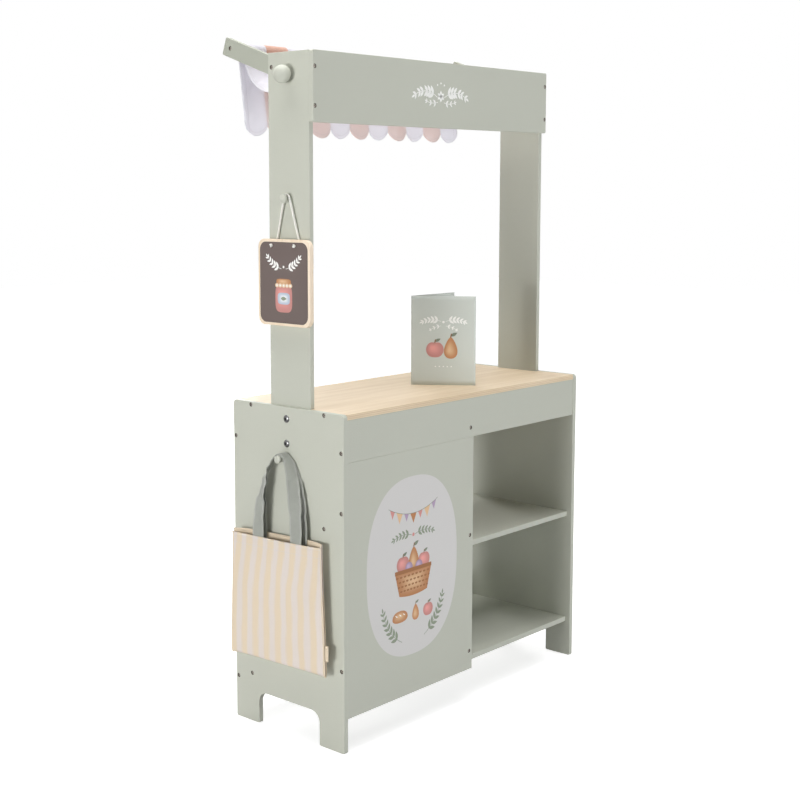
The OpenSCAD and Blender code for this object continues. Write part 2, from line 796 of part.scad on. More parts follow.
// Tote bag, open at the top
module bag_body() {
    color(CANVAS) difference() {
        extrude_x(bag_x - bag_t, bag_t)
            polygon(concat(arc([bag_r - bag_w / 2, bag_low_z + bag_r], bag_r, 180, 270),
                arc([bag_w / 2 - bag_r, bag_low_z + bag_r], bag_r, 270, 360),
                [[bag_w / 2, bag_top_z], [-bag_w / 2, bag_top_z]]));
        block(bag_x - bag_t + canvas_t, bag_x - canvas_t, canvas_t - bag_w / 2, bag_w / 2 - canvas_t,
            bag_low_z + canvas_t, bag_top_z + 1);
    }
}

// Half of a handle as it arches from its sewn end up to the peg: [place, width, turn of the webbing]
function strap_leg(x, span, crown) = concat([[[x, span, bag_top_z - sewn_l], webbing_w, 0]],
    [for (i = [0:strap_steps]) let (a = 90 * i / strap_steps, e = ease(i / strap_steps))
        [[blend(x, gather_x, e), span * cos(a), blend(bag_top_z, bag_peg_z + crown, sin(a))],
            blend(webbing_w, gather_w, e), 90 * e]]);
function strap_route(x, span, crown) = let (leg = strap_leg(x, span, crown)) concat(leg,
    [for (i = [strap_steps:-1:0]) let (s = leg[i]) [[s[0][0], -s[0][1], s[0][2]], s[1], s[2]]]);

// Four corners of the webbing at one place of its route
function strap_ring(s, i) =
    let (p = [for (q = s) q[0]], d = route_dir(p, i), flat = unit(cross([1, 0, 0], d)),
        wide = cos(s[i][2]) * flat + sin(s[i][2]) * cross(d, flat), thick = cross(d, unit(wide)))
    [for (k = [[-1, -1], [1, -1], [1, 1], [-1, 1]])
        p[i] + k[0] * unit(wide) * s[i][1] / 2 + k[1] * thick * webbing_t / 2];

module handle(x, span, crown) {
    s = strap_route(x, span, crown);
    color(WEBBING) polyhedron([for (i = [0:len(s) - 1]) each strap_ring(s, i)], tube_faces(len(s), 4));
}

module bag_front_handle() {
    handle(front_strap_x, front_span, front_crown);
}

module bag_rear_handle() {
    handle(rear_strap_x, front_span + span_step, rear_crown);
}

// Small bare tab in the bag's side seam
module bag_tab() {
    color(CANVAS) block(bag_mid_x - canvas_t, bag_mid_x + canvas_t,
        -bag_w / 2 - tab_out, -bag_w / 2, bag_low_z + tab_up, bag_low_z + tab_up + tab_l);
}

// Leaf of the menu card, from the fold outward
module leaf(deg, side) {
    color(CARD) translate([fold_x, fold_y, counter_h]) rotate(deg)
        block(leaf_t, leaf_w, side > 0 ? 0 : -leaf_t, side > 0 ? leaf_t : 0, 0, leaf_h);
}

module menu_front_leaf() {
    leaf(front_leaf_deg, -1);
}

module menu_rear_leaf() {
    leaf(front_leaf_deg + leaf_spread, 1);
}

module left_panel_screws() {
    color(STEEL) at_side(-1, left_screws) screw();
}

module right_panel_screws() {
    color(STEEL) at_side(1, right_screws) screw();
}

// Screws through the front boards into the divider
module front_screws() {
    color(STEEL) at_divider(1, concat(front_panel_zs, [rail_screw_z])) screw();
}

// Screws through the back rails into the divider
module back_screws() {
    color(STEEL) at_divider(-1, [rail_screw_z, low_rail_screw_z]) screw();
}

// Screws through the divider into the shelves
module shelf_screws() {
    color(STEEL) {
        at_shelves(1, concat(right_mid_screws, right_low_screws)) screw();
        at_shelves(-1, concat(left_mid_screws, left_low_screws)) screw();
    }
}

module sign_screws() {
    color(STEEL) at_sign() screw();
}

module arm_screws() {
    color(STEEL) for (s = [-1, 1]) at_bar(s) screw();
}

// Bolts with low domed heads through the side panels and posts
module post_bolts() {
    color(CHROME) for (s = [-1, 1]) at_bolts(s) {
        cylinder(r = bolt_r, h = 2 * board_t + nut_h);
        rotate([180, 0, 0]) rotate_extrude() polygon(concat([[0, 0], [bolt_head_r, 0]],
            arc([bolt_head_r - bolt_head_h, 0], bolt_head_h, 0, 90, 6), [[0, bolt_head_h]]));
    }
}

// Nuts inside the posts
module post_nuts() {
    color(CHROME) for (s = [-1, 1]) at_bolts(s) translate([0, 0, 2 * board_t]) difference() {
        cylinder(r = nut_r, h = nut_h, $fn = 6);
        translate([0, 0, -1]) cylinder(r = bolt_r + seat_fit, h = nut_h + 2);
    }
}

left_side_panel();
right_side_panel();
counter_top();
front_rail();
front_panel();
divider_panel();
back_rail();
low_back_rail();
left_mid_shelf();
left_low_shelf();
right_mid_shelf();
right_low_shelf();
left_post();
right_post();
sign_board();
left_arm();
right_arm();
front_bar();
rear_bar();
awning_canopy();
awning_valance();
left_knob();
right_knob();
left_pivot_bolt();
right_pivot_bolt();
stop_screws();
plaque_peg();
plaque_board();
plaque_cord();
bag_peg();
bag_body();
bag_front_handle();
bag_rear_handle();
bag_tab();
menu_front_leaf();
menu_rear_leaf();
left_panel_screws();
right_panel_screws();
front_screws();
back_screws();
shelf_screws();
sign_screws();
arm_screws();
post_bolts();
post_nuts();
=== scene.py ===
import json
import math

import bmesh
import bpy
import numpy as np
from bpy.props import FloatProperty, FloatVectorProperty, IntProperty, PointerProperty
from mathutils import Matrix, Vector


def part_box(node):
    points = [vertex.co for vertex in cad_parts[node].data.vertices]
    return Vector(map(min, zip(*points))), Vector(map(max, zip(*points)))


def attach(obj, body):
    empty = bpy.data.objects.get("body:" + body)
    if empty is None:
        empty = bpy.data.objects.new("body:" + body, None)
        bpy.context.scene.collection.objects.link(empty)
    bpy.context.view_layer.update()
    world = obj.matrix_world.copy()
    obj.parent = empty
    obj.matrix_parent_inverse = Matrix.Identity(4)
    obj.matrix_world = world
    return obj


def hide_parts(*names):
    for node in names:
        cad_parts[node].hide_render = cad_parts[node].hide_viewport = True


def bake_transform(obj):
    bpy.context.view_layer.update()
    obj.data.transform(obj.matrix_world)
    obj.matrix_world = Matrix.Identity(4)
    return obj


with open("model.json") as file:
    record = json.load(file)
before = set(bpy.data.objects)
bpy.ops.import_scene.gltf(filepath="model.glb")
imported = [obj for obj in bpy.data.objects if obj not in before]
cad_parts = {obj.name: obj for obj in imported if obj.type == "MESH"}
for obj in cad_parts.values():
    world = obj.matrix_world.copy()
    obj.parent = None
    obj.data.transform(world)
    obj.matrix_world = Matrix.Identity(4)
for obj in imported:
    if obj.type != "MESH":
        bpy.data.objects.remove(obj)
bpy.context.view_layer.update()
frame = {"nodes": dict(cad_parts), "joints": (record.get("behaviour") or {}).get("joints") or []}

bl_info = {
    "name": "Toy Market Stall",
    "version": (1, 0, 0),
    "blender": (4, 5, 0),
    "location": "3D View > Sidebar > Stall",
    "description": "Builds the boards, fasteners, cloth, bag, plaque and card of a toy stall",
    "category": "Add Mesh",
}

TURN = 2 * math.pi
MM = 0.001
THROUGH = 0.35  # share of the light that the awning's cloth lets through
COTTON_WEAVE = 1.1 * MM
CANVAS_WEAVE = 1.3 * MM
FINE_THREAD = 0.6 * MM

SAGE_BOARDS = {
    "stall": (
        "left_side_panel", "right_side_panel", "front_rail", "front_panel", "divider_panel",
        "back_rail", "low_back_rail", "left_mid_shelf", "left_low_shelf", "right_mid_shelf",
        "right_low_shelf", "left_post", "right_post", "sign_board",
    ),
    "awning": ("left_arm", "right_arm"),
}
STALL_SCREWS = (
    "left_panel_screws", "right_panel_screws", "front_screws", "back_screws", "shelf_screws",
    "sign_screws", "stop_screws",
)
FASTENERS = STALL_SCREWS + ("arm_screws", "post_bolts", "left_pivot_bolt", "right_pivot_bolt")


# Settings

def linear(red, green, blue):
    """A display colour of 0 to 255 as the linear values that a shader takes."""
    return tuple(((c / 255 + 0.055) / 1.055) ** 2.4 for c in (red, green, blue))


def colour(name, text, *rgb):
    """A colour setting, given by its display values."""
    return FloatVectorProperty(
        name=name, description=text, subtype="COLOR", size=3, min=0, max=1, default=linear(*rgb)
    )


def length(name, text, millimetres):
    """A length setting, given in millimetres."""
    return FloatProperty(
        name=name, description=text, unit="LENGTH", min=0, precision=5, default=millimetres * MM
    )


def wattage(name, text, watts):
    """A lamp's power setting, given in watts."""
    return FloatProperty(name=name, description=text, subtype="POWER", min=0, default=watts)


class StallWood(bpy.types.PropertyGroup):
    """Boards and turned pieces."""
    sage: colour("Paint", "Matt paint on the boards and turned pieces", 190, 192, 180)
    birch: colour("Birch", "Face of the counter's plywood and the awning's bars", 231, 213, 186)
    pale: colour("Plaque wood", "Bare wood of the plaque", 240, 224, 203)
    # The arms take a darker tone of the boards' sage.
    arm: colour("Arm paint", "Painted arms of the awning", 171, 174, 161)
    edge: length("Edge round", "Rounding of the boards' edges", 0.65)
    ply: length("Ply", "Thickness of one ply in the counter's edge", 1.5)
    knob: length("Knob", "Radius of the clamp knobs", 14.2)


class StallMetal(bpy.types.PropertyGroup):
    """Screws, bolts and nuts."""
    # The screw rim's dark colour is painted shade of each sunk screw's hole; the pivot bolts take
    # it as their own steel.
    dark: colour("Screw rim", "Dark rim of the sunk screws", 74, 66, 60)
    core: colour("Screw steel", "Heads of the screws", 186, 178, 168)
    bright: colour("Bolt steel", "Bright finish of the bolts and nuts", 118, 118, 118)
    screw_head: length("Screw rim radius", "Radius of a screw's rim", 4.2)
    cross: length("Cross recess", "Length of the recess in a screw's head", 3.4)
    socket: length("Hex socket", "Radius of the socket in a bolt's head", 2.5)
    dome: length("Bolt dome", "Height of a bolt's head", 2.7)


class StallCloth(bpy.types.PropertyGroup):
    """Awning cloth."""
    white: colour("White stripe", "Undyed stripe of the awning", 246, 245, 250)
    peach: colour("Peach stripe", "Printed stripe of the awning", 238, 200, 182)
    inside: colour("Peach inside", "Printed stripe on the cloth's inner face", 241, 235, 236)
    # The thread is a greyer white than the cloth, partly painted shade of the seam lines.
    thread: colour("Thread", "Sewing thread", 226, 223, 228)
    stripes: IntProperty(name="Stripes", description="Stripes across the awning", default=11, min=3)
    thick: length("Cloth", "Thickness of the awning's cloth", 1.0)
    hem: length("Side hem", "Width of the hem along the awning's sides", 11)
    stitch: length("Stitch", "Pitch of the sewing stitches", 3.4)
    sag_front: length("Front sag", "How far the canopy falls from the front bar", 82)
    sag_rear: length("Rear sag", "How far the canopy falls from the rear bar", 35)
    sag_out: length("Sag reach", "Where the rear fall ends, ahead of the rear bar", 37)
    drop: length("Valance drop", "Height of the valance below the front bar", 140)
    scallop: length("Scallop", "Depth of the valance's scallops", 17)
    lean: length("Lean", "How far the valance's hem leans back", 16)


class StallBag(bpy.types.PropertyGroup):
    """Tote bag and its handles."""
    beige: colour("Beige stripe", "Printed stripe of the bag", 237, 220, 194)
    cream: colour("Cream", "Bare canvas of the bag", 234, 224, 218)
    webbing: colour("Webbing", "Handles of the bag", 181, 184, 175)
    stripe: length("Stripe", "Width of the bag's stripes", 13.3)
    canvas: length("Canvas", "Thickness of the bag's canvas", 1.1)
    strap: length("Strap width", "Width of the handles", 25)
    gather: length("Gathered width", "Width of the handles over the peg", 16)
    strap_thick: length("Strap", "Thickness of the handles", 1.4)
    lean_in: FloatProperty(
        name="Lean in", description="Right legs' span as a share of the left ones'", default=0.8
    )
    front_span: length("Front span", "Half the gap between the front handle's ends", 48)
    rear_span: length("Rear span", "Half the gap between the rear handle's ends", 51)


class StallPrint(bpy.types.PropertyGroup):
    """Printed artwork, plaque face, cord and card."""
    paper: colour("Oval", "Ground of the print on the front panel", 210, 208, 206)
    chalk: colour("Chalk", "White artwork", 247, 247, 243)
    leaf: colour("Leaf", "Green of the artwork", 142, 152, 132)
    rose: colour("Rose", "Pink of the artwork", 208, 144, 138)
    caramel: colour("Caramel", "Brown of the artwork", 186, 128, 84)
    tan: colour("Tan", "Pale brown of the artwork", 222, 186, 146)
    lilac: colour("Lilac", "Violet of the artwork", 178, 156, 182)
    sky: colour("Sky", "Pale blue of the artwork", 176, 190, 208)
    slate: colour("Plaque face", "Printed face of the plaque", 105, 92, 88)
    card: colour("Card", "Menu card", 201, 206, 199)
    cord: colour("Cord", "Cord of the plaque", 244, 243, 236)
    cord_radius: length("Cord radius", "Radius of the plaque's cord", 1.9)
    card_thick: length("Card thickness", "Thickness of the menu card", 0.8)


class StallStage(bpy.types.PropertyGroup):
    """Floor and lights."""
    floor: colour("Floor", "Studio floor", 214, 214, 214)
    key: wattage("Key", "Light from the left", 104)
    fill: wattage("Fill", "Low light from the front", 88)
    side: wattage("Side", "Light from the front left corner", 6)
    top: wattage("Top", "Light from above", 56)
    over: wattage("Over", "Light from above and in front", 25)
    back: wattage("Back", "Light from behind", 60)
    ambient: FloatProperty(name="Ambient", description="Even light all round", default=0.01, min=0)


GROUPS = {
    "stall_wood": StallWood, "stall_metal": StallMetal, "stall_cloth": StallCloth,
    "stall_bag": StallBag, "stall_print": StallPrint, "stall_stage": StallStage,
}


# Node trees written as expressions

class Wire:
    """An output socket that takes part in arithmetic."""

    def __init__(self, net, socket):
        self.net = net
        self.socket = socket

    def also(self, out):
        """Another output of the same node."""
        return Wire(self.net, self.socket.node.outputs[out])

    def __add__(self, other):
        return self.net.maths("ADD", self, other)

    def __radd__(self, other):
        return self.net.maths("ADD", other, self)

    def __sub__(self, other):
        return self.net.maths("SUBTRACT", self, other)

    def __rsub__(self, other):
        return self.net.maths("SUBTRACT", other, self)

    def __mul__(self, other):
        return self.net.maths("MULTIPLY", self, other)

    def __rmul__(self, other):
        return self.net.maths("MULTIPLY", other, self)

    def __truediv__(self, other):
        return self.net.maths("DIVIDE", self, other)

    def __rtruediv__(self, other):
        return self.net.maths("DIVIDE", other, self)


class Net:
    """A node tree and the nodes that this scene needs."""

    def __init__(self, tree):
        self.tree = tree

    def node(self, kind, settings=None, inputs=None, out=0):
        """A node with its settings, then its inputs, given as wires or values."""
        made = self.tree.nodes.new(kind)
        for key, value in (settings or {}).items():
            setattr(made, key, value)
        for key, value in (inputs or {}).items():
            for part in value if isinstance(value, list) else [value]:
                if isinstance(part, Wire):
                    self.tree.links.new(part.socket, made.inputs[key])
                else:
                    made.inputs[key].default_value = part
        return Wire(self, made.outputs[out]) if len(made.outputs) else made

    def maths(self, operation, *values):
        return self.node("ShaderNodeMath", {"operation": operation}, dict(enumerate(values)))

    def coords(self, kind):
        return self.node("ShaderNodeTexCoord", out=kind)

    def split(self, vector):
        first = self.node("ShaderNodeSeparateXYZ", None, {0: vector})
        return first, first.also(1), first.also(2)

    def scaled(self, vector, scale):
        return self.node("ShaderNodeVectorMath", {"operation": "MULTIPLY"}, {0: vector, 1: scale})

    def noise(self, vector, scale, detail=2.0, rough=0.5):
        return self.node(
            "ShaderNodeTexNoise", None,
            {"Vector": vector, "Scale": scale, "Detail": detail, "Roughness": rough},
        )

    def threads(self, across, along, detail=2):
        """Noise stretched over a piece's UV, which is in metres."""
        return self.noise(self.scaled(self.coords("UV"), (across, along, 0)), 1, detail)

    def step(self, value, low, high):
        """A smooth step from 0 at the low value to 1 at the high one."""
        return self.node(
            "ShaderNodeMapRange", {"interpolation_type": "SMOOTHSTEP"}, {0: value, 1: low, 2: high}
        )

    def mix(self, factor, first, second):
        inputs = {0: factor, 6: first, 7: second}
        return self.node("ShaderNodeMix", {"data_type": "RGBA"}, inputs, 2)

    def tones(self, factor, rgb, low, high):
        """A colour from a darker to a lighter tone of itself."""
        return self.mix(factor, tone(rgb, low), tone(rgb, high))

    def attribute(self, name, out):
        return self.node("ShaderNodeAttribute", {"attribute_name": name}, out=out)

    def bump(self, height, distance):
        return self.node("ShaderNodeBump", None, {"Distance": distance, "Height": height}, "Normal")

    def surface(self, base, rough, normal=None, through=None, **constants):
        """Ends a material, with a shader for the light that comes through where it has one."""
        inputs = {"Base Color": base, "Roughness": rough}
        if normal is not None:
            inputs["Normal"] = normal
        inputs.update({key.replace("_", " "): value for key, value in constants.items()})
        shader = self.node("ShaderNodeBsdfPrincipled", None, inputs)
        if through is not None:
            shader = self.node("ShaderNodeMixShader", None, {0: THROUGH, 1: shader, 2: through})
        self.node("ShaderNodeOutputMaterial", None, {"Surface": shader})


def tone(rgb, share):
    """A colour scaled in brightness, with alpha."""
    return tuple(min(1.0, c * share) for c in rgb) + (1.0,)


def shade(rgb, share):
    """A colour scaled in brightness, without alpha."""
    return tone(rgb, share)[:3]


def finish_of(name, build, *values):
    """The material of that name, made on its first use."""
    made = bpy.data.materials.get(name)
    if made is None:
        made = bpy.data.materials.new(name)
        made.use_nodes = True
        made.node_tree.nodes.clear()
        build(Net(made.node_tree), *values)
    return made


# Materials

def paint(net, rgb):
    """Matt sprayed paint with a faint orange peel, with a painted highlight on its rounded edges.
    """
    place = net.coords("Object")
    cloud = net.noise(place, 4.5, 3)
    peel = net.noise(place, 520, 2)
    mist = net.noise(place, 60, 2)
    base = net.tones(cloud * 0.8 + peel * 0.2, rgb, 0.965, 1.035)
    # Painted highlight: faces marked rim, on the rounded edges, are lightened.
    base = net.mix(net.attribute("rim", "Fac") * 0.15, base, tone(rgb, 1.14))
    net.surface(base, 0.46 + mist * 0.12, net.bump(peel, 0.00022), Specular_IOR_Level=0.4)


def wood(net, rgb, scales, ply):
    """Pale wood, its grain along the axis of the smallest scale, with plies if they are given."""
    place = net.coords("Object")

    def grain(times, detail, rough=0.5):
        return net.noise(net.scaled(place, tuple(times * s for s in scales)), 1, detail, rough)

    def warm(green, blue, share):
        return tone((rgb[0], rgb[1] * green, rgb[2] * blue), share)

    flow = grain(1, 4, 0.62)
    streak = grain(9, 2)
    fleck = net.step(grain(14, 1), 0.6, 0.72)
    base = net.mix(net.step(flow, 0.3, 0.7), tone(rgb, 1.04), warm(0.96, 0.9, 0.9))
    base = net.mix(streak * 0.25, base, warm(0.93, 0.82, 0.84))
    base = net.mix(fleck * 0.22, base, warm(0.88, 0.74, 0.72))
    if ply:
        facing = net.split(net.node("ShaderNodeNewGeometry", out="Normal"))[2]
        side = net.step(1 - facing * facing, 0.6, 0.9)
        layer = net.split(place)[2]
        band = net.step(net.maths("PINGPONG", layer / ply, 1), 0.4, 0.6)
        base = net.mix(side * band * 0.5, base, warm(0.9, 0.76, 0.72))
    net.surface(base, 0.5 + streak * 0.12, net.bump(streak + flow, 0.0003), Specular_IOR_Level=0.4)


def metal(net, rgb, rough):
    """Plated steel with faint handling marks."""
    place = net.coords("Object")
    marks = net.noise(place, 900, 3)
    base = net.tones(marks, rgb, 0.86, 1.08)
    net.surface(base, rough + marks * 0.16, net.bump(marks, 0.00004), Metallic=1.0)


def weave(net, pitch):
    """Height of a plain weave over a piece's UV, which is in metres."""
    across, along, _ = net.split(net.coords("UV"))
    warp = net.maths("SINE", across * (TURN / pitch))
    weft = net.maths("SINE", along * (TURN / pitch))
    return warp * weft


def striped_cloth(net, white, peach, half, count):
    """Awning cotton whose stripes follow each other along X."""
    place = net.coords("Object")
    ease = 0.996
    across = (net.split(place)[0] * ease + half) * (count / (2 * half))
    odd = net.step(net.maths("PINGPONG", across - 0.5, 1), 0.485, 0.515)
    slub = net.noise(net.scaled(place, (900, 160, 160)), 1, 2)
    cloud = net.noise(place, 14, 3)
    base = net.mix(odd, tone(white, 1), tone(peach, 1))
    dull = net.mix(odd, tone(white, 0.86), tone(peach, 0.82))
    base = net.mix(slub * 0.1 + cloud * 0.1, base, dull)
    height = weave(net, COTTON_WEAVE) * 0.3 + slub + cloud * 3
    pale, dyed = (
        net.node("ShaderNodeBsdfTranslucent", None, {"Color": tone(rgb, 1)})
        for rgb in (white, peach)
    )
    through = net.node("ShaderNodeMixShader", None, {0: odd, 1: pale, 2: dyed})
    net.surface(
        base, 0.84 + slub * 0.1, net.bump(height, 0.0004), through,
        Sheen_Weight=0.15, Specular_IOR_Level=0.2,
    )


def bag_cloth(net, beige, cream, stripe):
    """Canvas with printed stripes down the piece's UV."""
    place = net.coords("Object")
    across, along, _ = net.split(net.coords("UV"))
    wobble = net.threads(40, 18, 3) - 0.5
    brush = net.threads(420, 14) - 0.5
    slip_low, slip_high, slip_by = 0.11, 0.21, 0.012
    slip = net.step(along, slip_low, slip_high) * slip_by
    first_stripe = 0.0056
    count = (across - slip + wobble * 0.008 - first_stripe) / stripe
    print_edge = net.step(net.maths("PINGPONG", count, 1) + brush * 0.5, 0.3, 0.7)
    slub = net.threads(1100, 180)
    cloud = net.noise(place, 16, 3)
    base = net.mix(print_edge, tone(beige, 1), tone(cream, 1))
    base = net.mix(slub * 0.16 + cloud * 0.12, base, tone(beige, 0.78))
    height = weave(net, CANVAS_WEAVE) * 0.35 + slub + cloud * 4
    net.surface(
        base, 0.86 + slub * 0.1, net.bump(height, 0.0005), Sheen_Weight=0.1, Specular_IOR_Level=0.2
    )


def plain_canvas(net, rgb):
    """Undyed canvas inside the bag."""
    slub = net.threads(1100, 180)
    base = net.tones(slub, rgb, 0.84, 1.0)
    height = weave(net, CANVAS_WEAVE) * 0.35 + slub
    net.surface(base, 0.88 + slub * 0.1, net.bump(height, 0.0004), Specular_IOR_Level=0.2)


def webbing(net, rgb):
    """Cotton webbing in a herringbone along the strap's UV."""
    across, along, _ = net.split(net.coords("UV"))
    chevron_wide, rib_pitch = 1.6 * MM, 1.9 * MM
    chevron = net.maths("PINGPONG", across, chevron_wide) * 1.6 + along
    rib = net.maths("SINE", chevron * (TURN / rib_pitch)) * 0.5 + 0.5
    fibre = net.threads(900, 300)
    cloud = net.noise(net.coords("Object"), 55, 3)
    base = net.tones(rib * 0.4 + fibre * 0.3 + cloud * 0.5, rgb, 0.74, 1.2)
    selvedge = net.step(net.maths("ABSOLUTE", across), 9.2 * MM, 11.6 * MM)
    base = net.mix(selvedge * 0.5, base, tone(rgb, 1.3))
    height = rib + fibre * 0.6 + cloud * 5 + selvedge
    net.surface(
        base, 0.84 + fibre * 0.1, net.bump(height, 0.0006), Sheen_Weight=0.2, Specular_IOR_Level=0.2
    )


def cotton(net, rgb):
    """Twisted cotton of the cord and the sewing thread."""
    fibre = net.noise(net.coords("Object"), 1600, 2)
    base = net.tones(fibre, rgb, 0.82, 1.04)
    net.surface(base, 0.82 + fibre * 0.12, net.bump(fibre, 0.0003), Sheen_Weight=0.2)


def card_stock(net, rgb):
    """Smooth coated card."""
    place = net.coords("Object")
    tooth = net.noise(place, 700, 2)
    cloud = net.noise(place, 9, 2)
    base = net.tones(cloud * 0.7 + tooth * 0.3, rgb, 0.97, 1.03)
    net.surface(base, 0.52 + tooth * 0.1, net.bump(tooth, 0.00012), Specular_IOR_Level=0.4)


def ink(net):
    """Printed artwork, coloured point by point, with the faint grain of its ground."""
    place = net.coords("Object")
    grain = net.noise(place, 1300, 2)
    tint = net.attribute("ink", "Color")
    base = net.mix(grain * 0.03, tint, (0.96, 0.94, 0.92, 1))
    net.surface(base, 0.56 + grain * 0.14, net.bump(grain, 0.00008), Specular_IOR_Level=0.25)


# Mesh helpers

def add_piece(name, mesh, body, finishes, stands_for=()):
    """Puts a finished mesh on its body with its materials."""
    made = bpy.data.objects.new(name, mesh)
    bpy.context.scene.collection.objects.link(made)
    if list(mesh.materials) != list(finishes):
        mesh.materials.clear()
        for finish in finishes:
            mesh.materials.append(finish)
    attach(made, body)
    if stands_for:
        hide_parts(*stands_for)
    return made


def settled(mesh, add_modifiers):
    """The mesh with modifiers applied, which add_modifiers puts on a passing object."""
    passing = bpy.data.objects.new("passing", mesh)
    bpy.context.scene.collection.objects.link(passing)
    add_modifiers(passing)
    graph = bpy.context.evaluated_depsgraph_get()
    made = bpy.data.meshes.new_from_object(
        passing.evaluated_get(graph), preserve_all_data_layers=True, depsgraph=graph
    )
    made.name = mesh.name
    bpy.data.objects.remove(passing)
    return made


def thickened(mesh, thickness, finishes, offset=0.0):
    """A sheet made into a closed layer with an outer and, if given, an inner finish."""
    for finish in finishes:
        mesh.materials.append(finish)

    def add(obj):
        solid = obj.modifiers.new("layer", "SOLIDIFY")
        solid.thickness = thickness
        solid.offset = offset
        solid.use_even_offset = True
        solid.use_rim = True
        solid.material_offset = len(finishes) - 1
    return settled(mesh, add)


def grid_mesh(name, points, uvs, weld=False):
    """Quads over rows and columns of points, with a UV in metres."""
    rows, cols = points.shape[:2]
    index = np.arange(rows * cols).reshape(rows, cols)
    faces = np.stack([index[:-1, :-1], index[:-1, 1:], index[1:, 1:], index[1:, :-1]], axis=-1)
    mesh = bpy.data.meshes.new(name)
    mesh.from_pydata(points.reshape(-1, 3).tolist(), [], faces.reshape(-1, 4).tolist())
    layer = mesh.uv_layers.new(name="cloth")
    corners = np.empty(len(mesh.loops), dtype=np.int32)
    mesh.loops.foreach_get("vertex_index", corners)
    layer.data.foreach_set("uv", uvs.reshape(-1, 2)[corners].astype(np.float32).ravel())
    if weld:
        bm = bmesh.new()
        bm.from_mesh(mesh)
        bmesh.ops.remove_doubles(bm, verts=bm.verts[:], dist=1e-6)
        ends = [edge for edge in bm.edges if edge.is_boundary]
        bmesh.ops.holes_fill(bm, edges=ends, sides=0)
        bmesh.ops.recalc_face_normals(bm, faces=bm.faces[:])
        bm.to_mesh(mesh)
        bm.free()
    mesh.shade_smooth()
    return mesh


def middle_of(low, high):
    """Middle of a box."""
    return (np.array(low) + np.array(high)) / 2


def mm(*values):
    """Millimetres as metres."""
    return tuple(v * MM for v in values)


def arc(centre, radius, first, last, count):
    """Points of an arc in a plane, from one angle to another in degrees."""
    around = np.radians(np.linspace(first, last, count))
    x, y = centre
    return np.stack([x + radius * np.cos(around), y + radius * np.sin(around)], axis=1)


def hump(values, middle, reach):
    """A bell curve of height 1."""
    return np.exp(-((values - middle) / reach) ** 2)


def bezier(a, b, c, d, count):
    """Points of a cubic curve from a to d, drawn towards b and c."""
    t = np.linspace(0, 1, count)[:, None]
    a, b, c, d = (np.asarray(p, dtype=float) for p in (a, b, c, d))
    return (1 - t) ** 3 * a + 3 * (1 - t) ** 2 * t * b + 3 * (1 - t) * t * t * c + t ** 3 * d


def directions(route):
    """Unit tangents along a route of points."""
    along = np.gradient(np.asarray(route, dtype=float), axis=0)
    return along / np.linalg.norm(along, axis=1, keepdims=True)


def lengths(route):
    """Length along a route at each of its points."""
    steps = np.linalg.norm(np.diff(np.asarray(route, dtype=float), axis=0), axis=1)
    return np.concatenate([[0], np.cumsum(steps)])


def even_route(route, step):
    """A route's points set out again at an even step."""
    route = np.asarray(route, dtype=float)
    at = lengths(route)
    count = max(int(at[-1] / step), 4)
    wanted = np.linspace(0, at[-1], count + 1)
    return np.stack([np.interp(wanted, at, route[:, k]) for k in range(3)], axis=1)


def smoothed(route, rounds):
    """A route with its corners eased and its ends kept."""
    route = np.array(route, dtype=float)
    for _ in range(rounds):
        route[1:-1] = (route[:-2] + 2 * route[1:-1] + route[2:]) / 4
    return route


def carried(route):
    """Two unit vectors across a route at each point, without twist."""
    along = directions(route)
    side = np.cross(along[0], (0.3, 0.5, 0.8))
    sides = []
    for step in along:
        side = side - step * side.dot(step)
        side = side / np.linalg.norm(side)
        sides.append(side)
    sides = np.array(sides)
    return sides, np.cross(along, sides)


def twisted_cord(name, route, radius, pitch=8.5 * MM):
    """A cord of twisted strands along a route, as one closed surface."""
    strands = 3
    at = lengths(route)
    side, up = carried(route)
    around = np.linspace(0, TURN, 25)
    lobe = 1 + 0.13 * np.cos(strands * (around[None, :] - TURN * at[:, None] / pitch))
    reach = radius * 0.9 * lobe
    points = (
        route[:, None, :]
        + side[:, None, :] * (reach * np.cos(around))[:, :, None]
        + up[:, None, :] * (reach * np.sin(around))[:, :, None]
    )
    uvs = np.stack(np.broadcast_arrays(around[None, :] * radius, at[:, None]), axis=-1)
    return grid_mesh(name, points, uvs, weld=True)


def joined(name, meshes):
    """One mesh from several."""
    bm = bmesh.new()
    for mesh in meshes:
        bm.from_mesh(mesh)
    made = bpy.data.meshes.new(name)
    bm.to_mesh(made)
    bm.free()
    made.shade_smooth()
    return made


def merged(node):
    """A CAD node's mesh in the frame, with its loose triangles joined."""
    source = frame["nodes"][node]
    bm = bmesh.new()
    bm.from_mesh(source.data)
    bm.transform(source.matrix_world)
    bmesh.ops.remove_doubles(bm, verts=bm.verts[:], dist=2e-6)
    return bm


def islands(node):
    """Points of each separate solid in a CAD node."""
    bm = merged(node)
    bm.verts.ensure_lookup_table()
    seen = [False] * len(bm.verts)
    found = []
    for start in bm.verts:
        if seen[start.index]:
            continue
        seen[start.index] = True
        queue = [start]
        points = []
        while queue:
            here = queue.pop()
            points.append(here.co[:])
            for edge in here.link_edges:
                there = edge.other_vert(here)
                if not seen[there.index]:
                    seen[there.index] = True
                    queue.append(there)
        found.append(np.array(points))
    bm.free()
    return found


def shafts(nodes):
    """Each fastener as the middle of its head's face, its outward direction and its length."""
    found = []
    for node in nodes:
        for points in islands(node):
            low, high = points.min(axis=0), points.max(axis=0)
            axis = int(np.argmax(high - low))
            middle = (low + high) / 2
            radius = np.linalg.norm(np.delete(points - middle, axis, axis=1), axis=1)
            at_low = radius[points[:, axis] < low[axis] + 3 * MM].max()
            at_high = radius[points[:, axis] > high[axis] - 3 * MM].max()
            facing = np.zeros(3)
            facing[axis] = 1 if at_high >= at_low else -1
            face = middle + facing * (high - low) / 2
            found.append((face, facing, (high - low)[axis]))
    return found


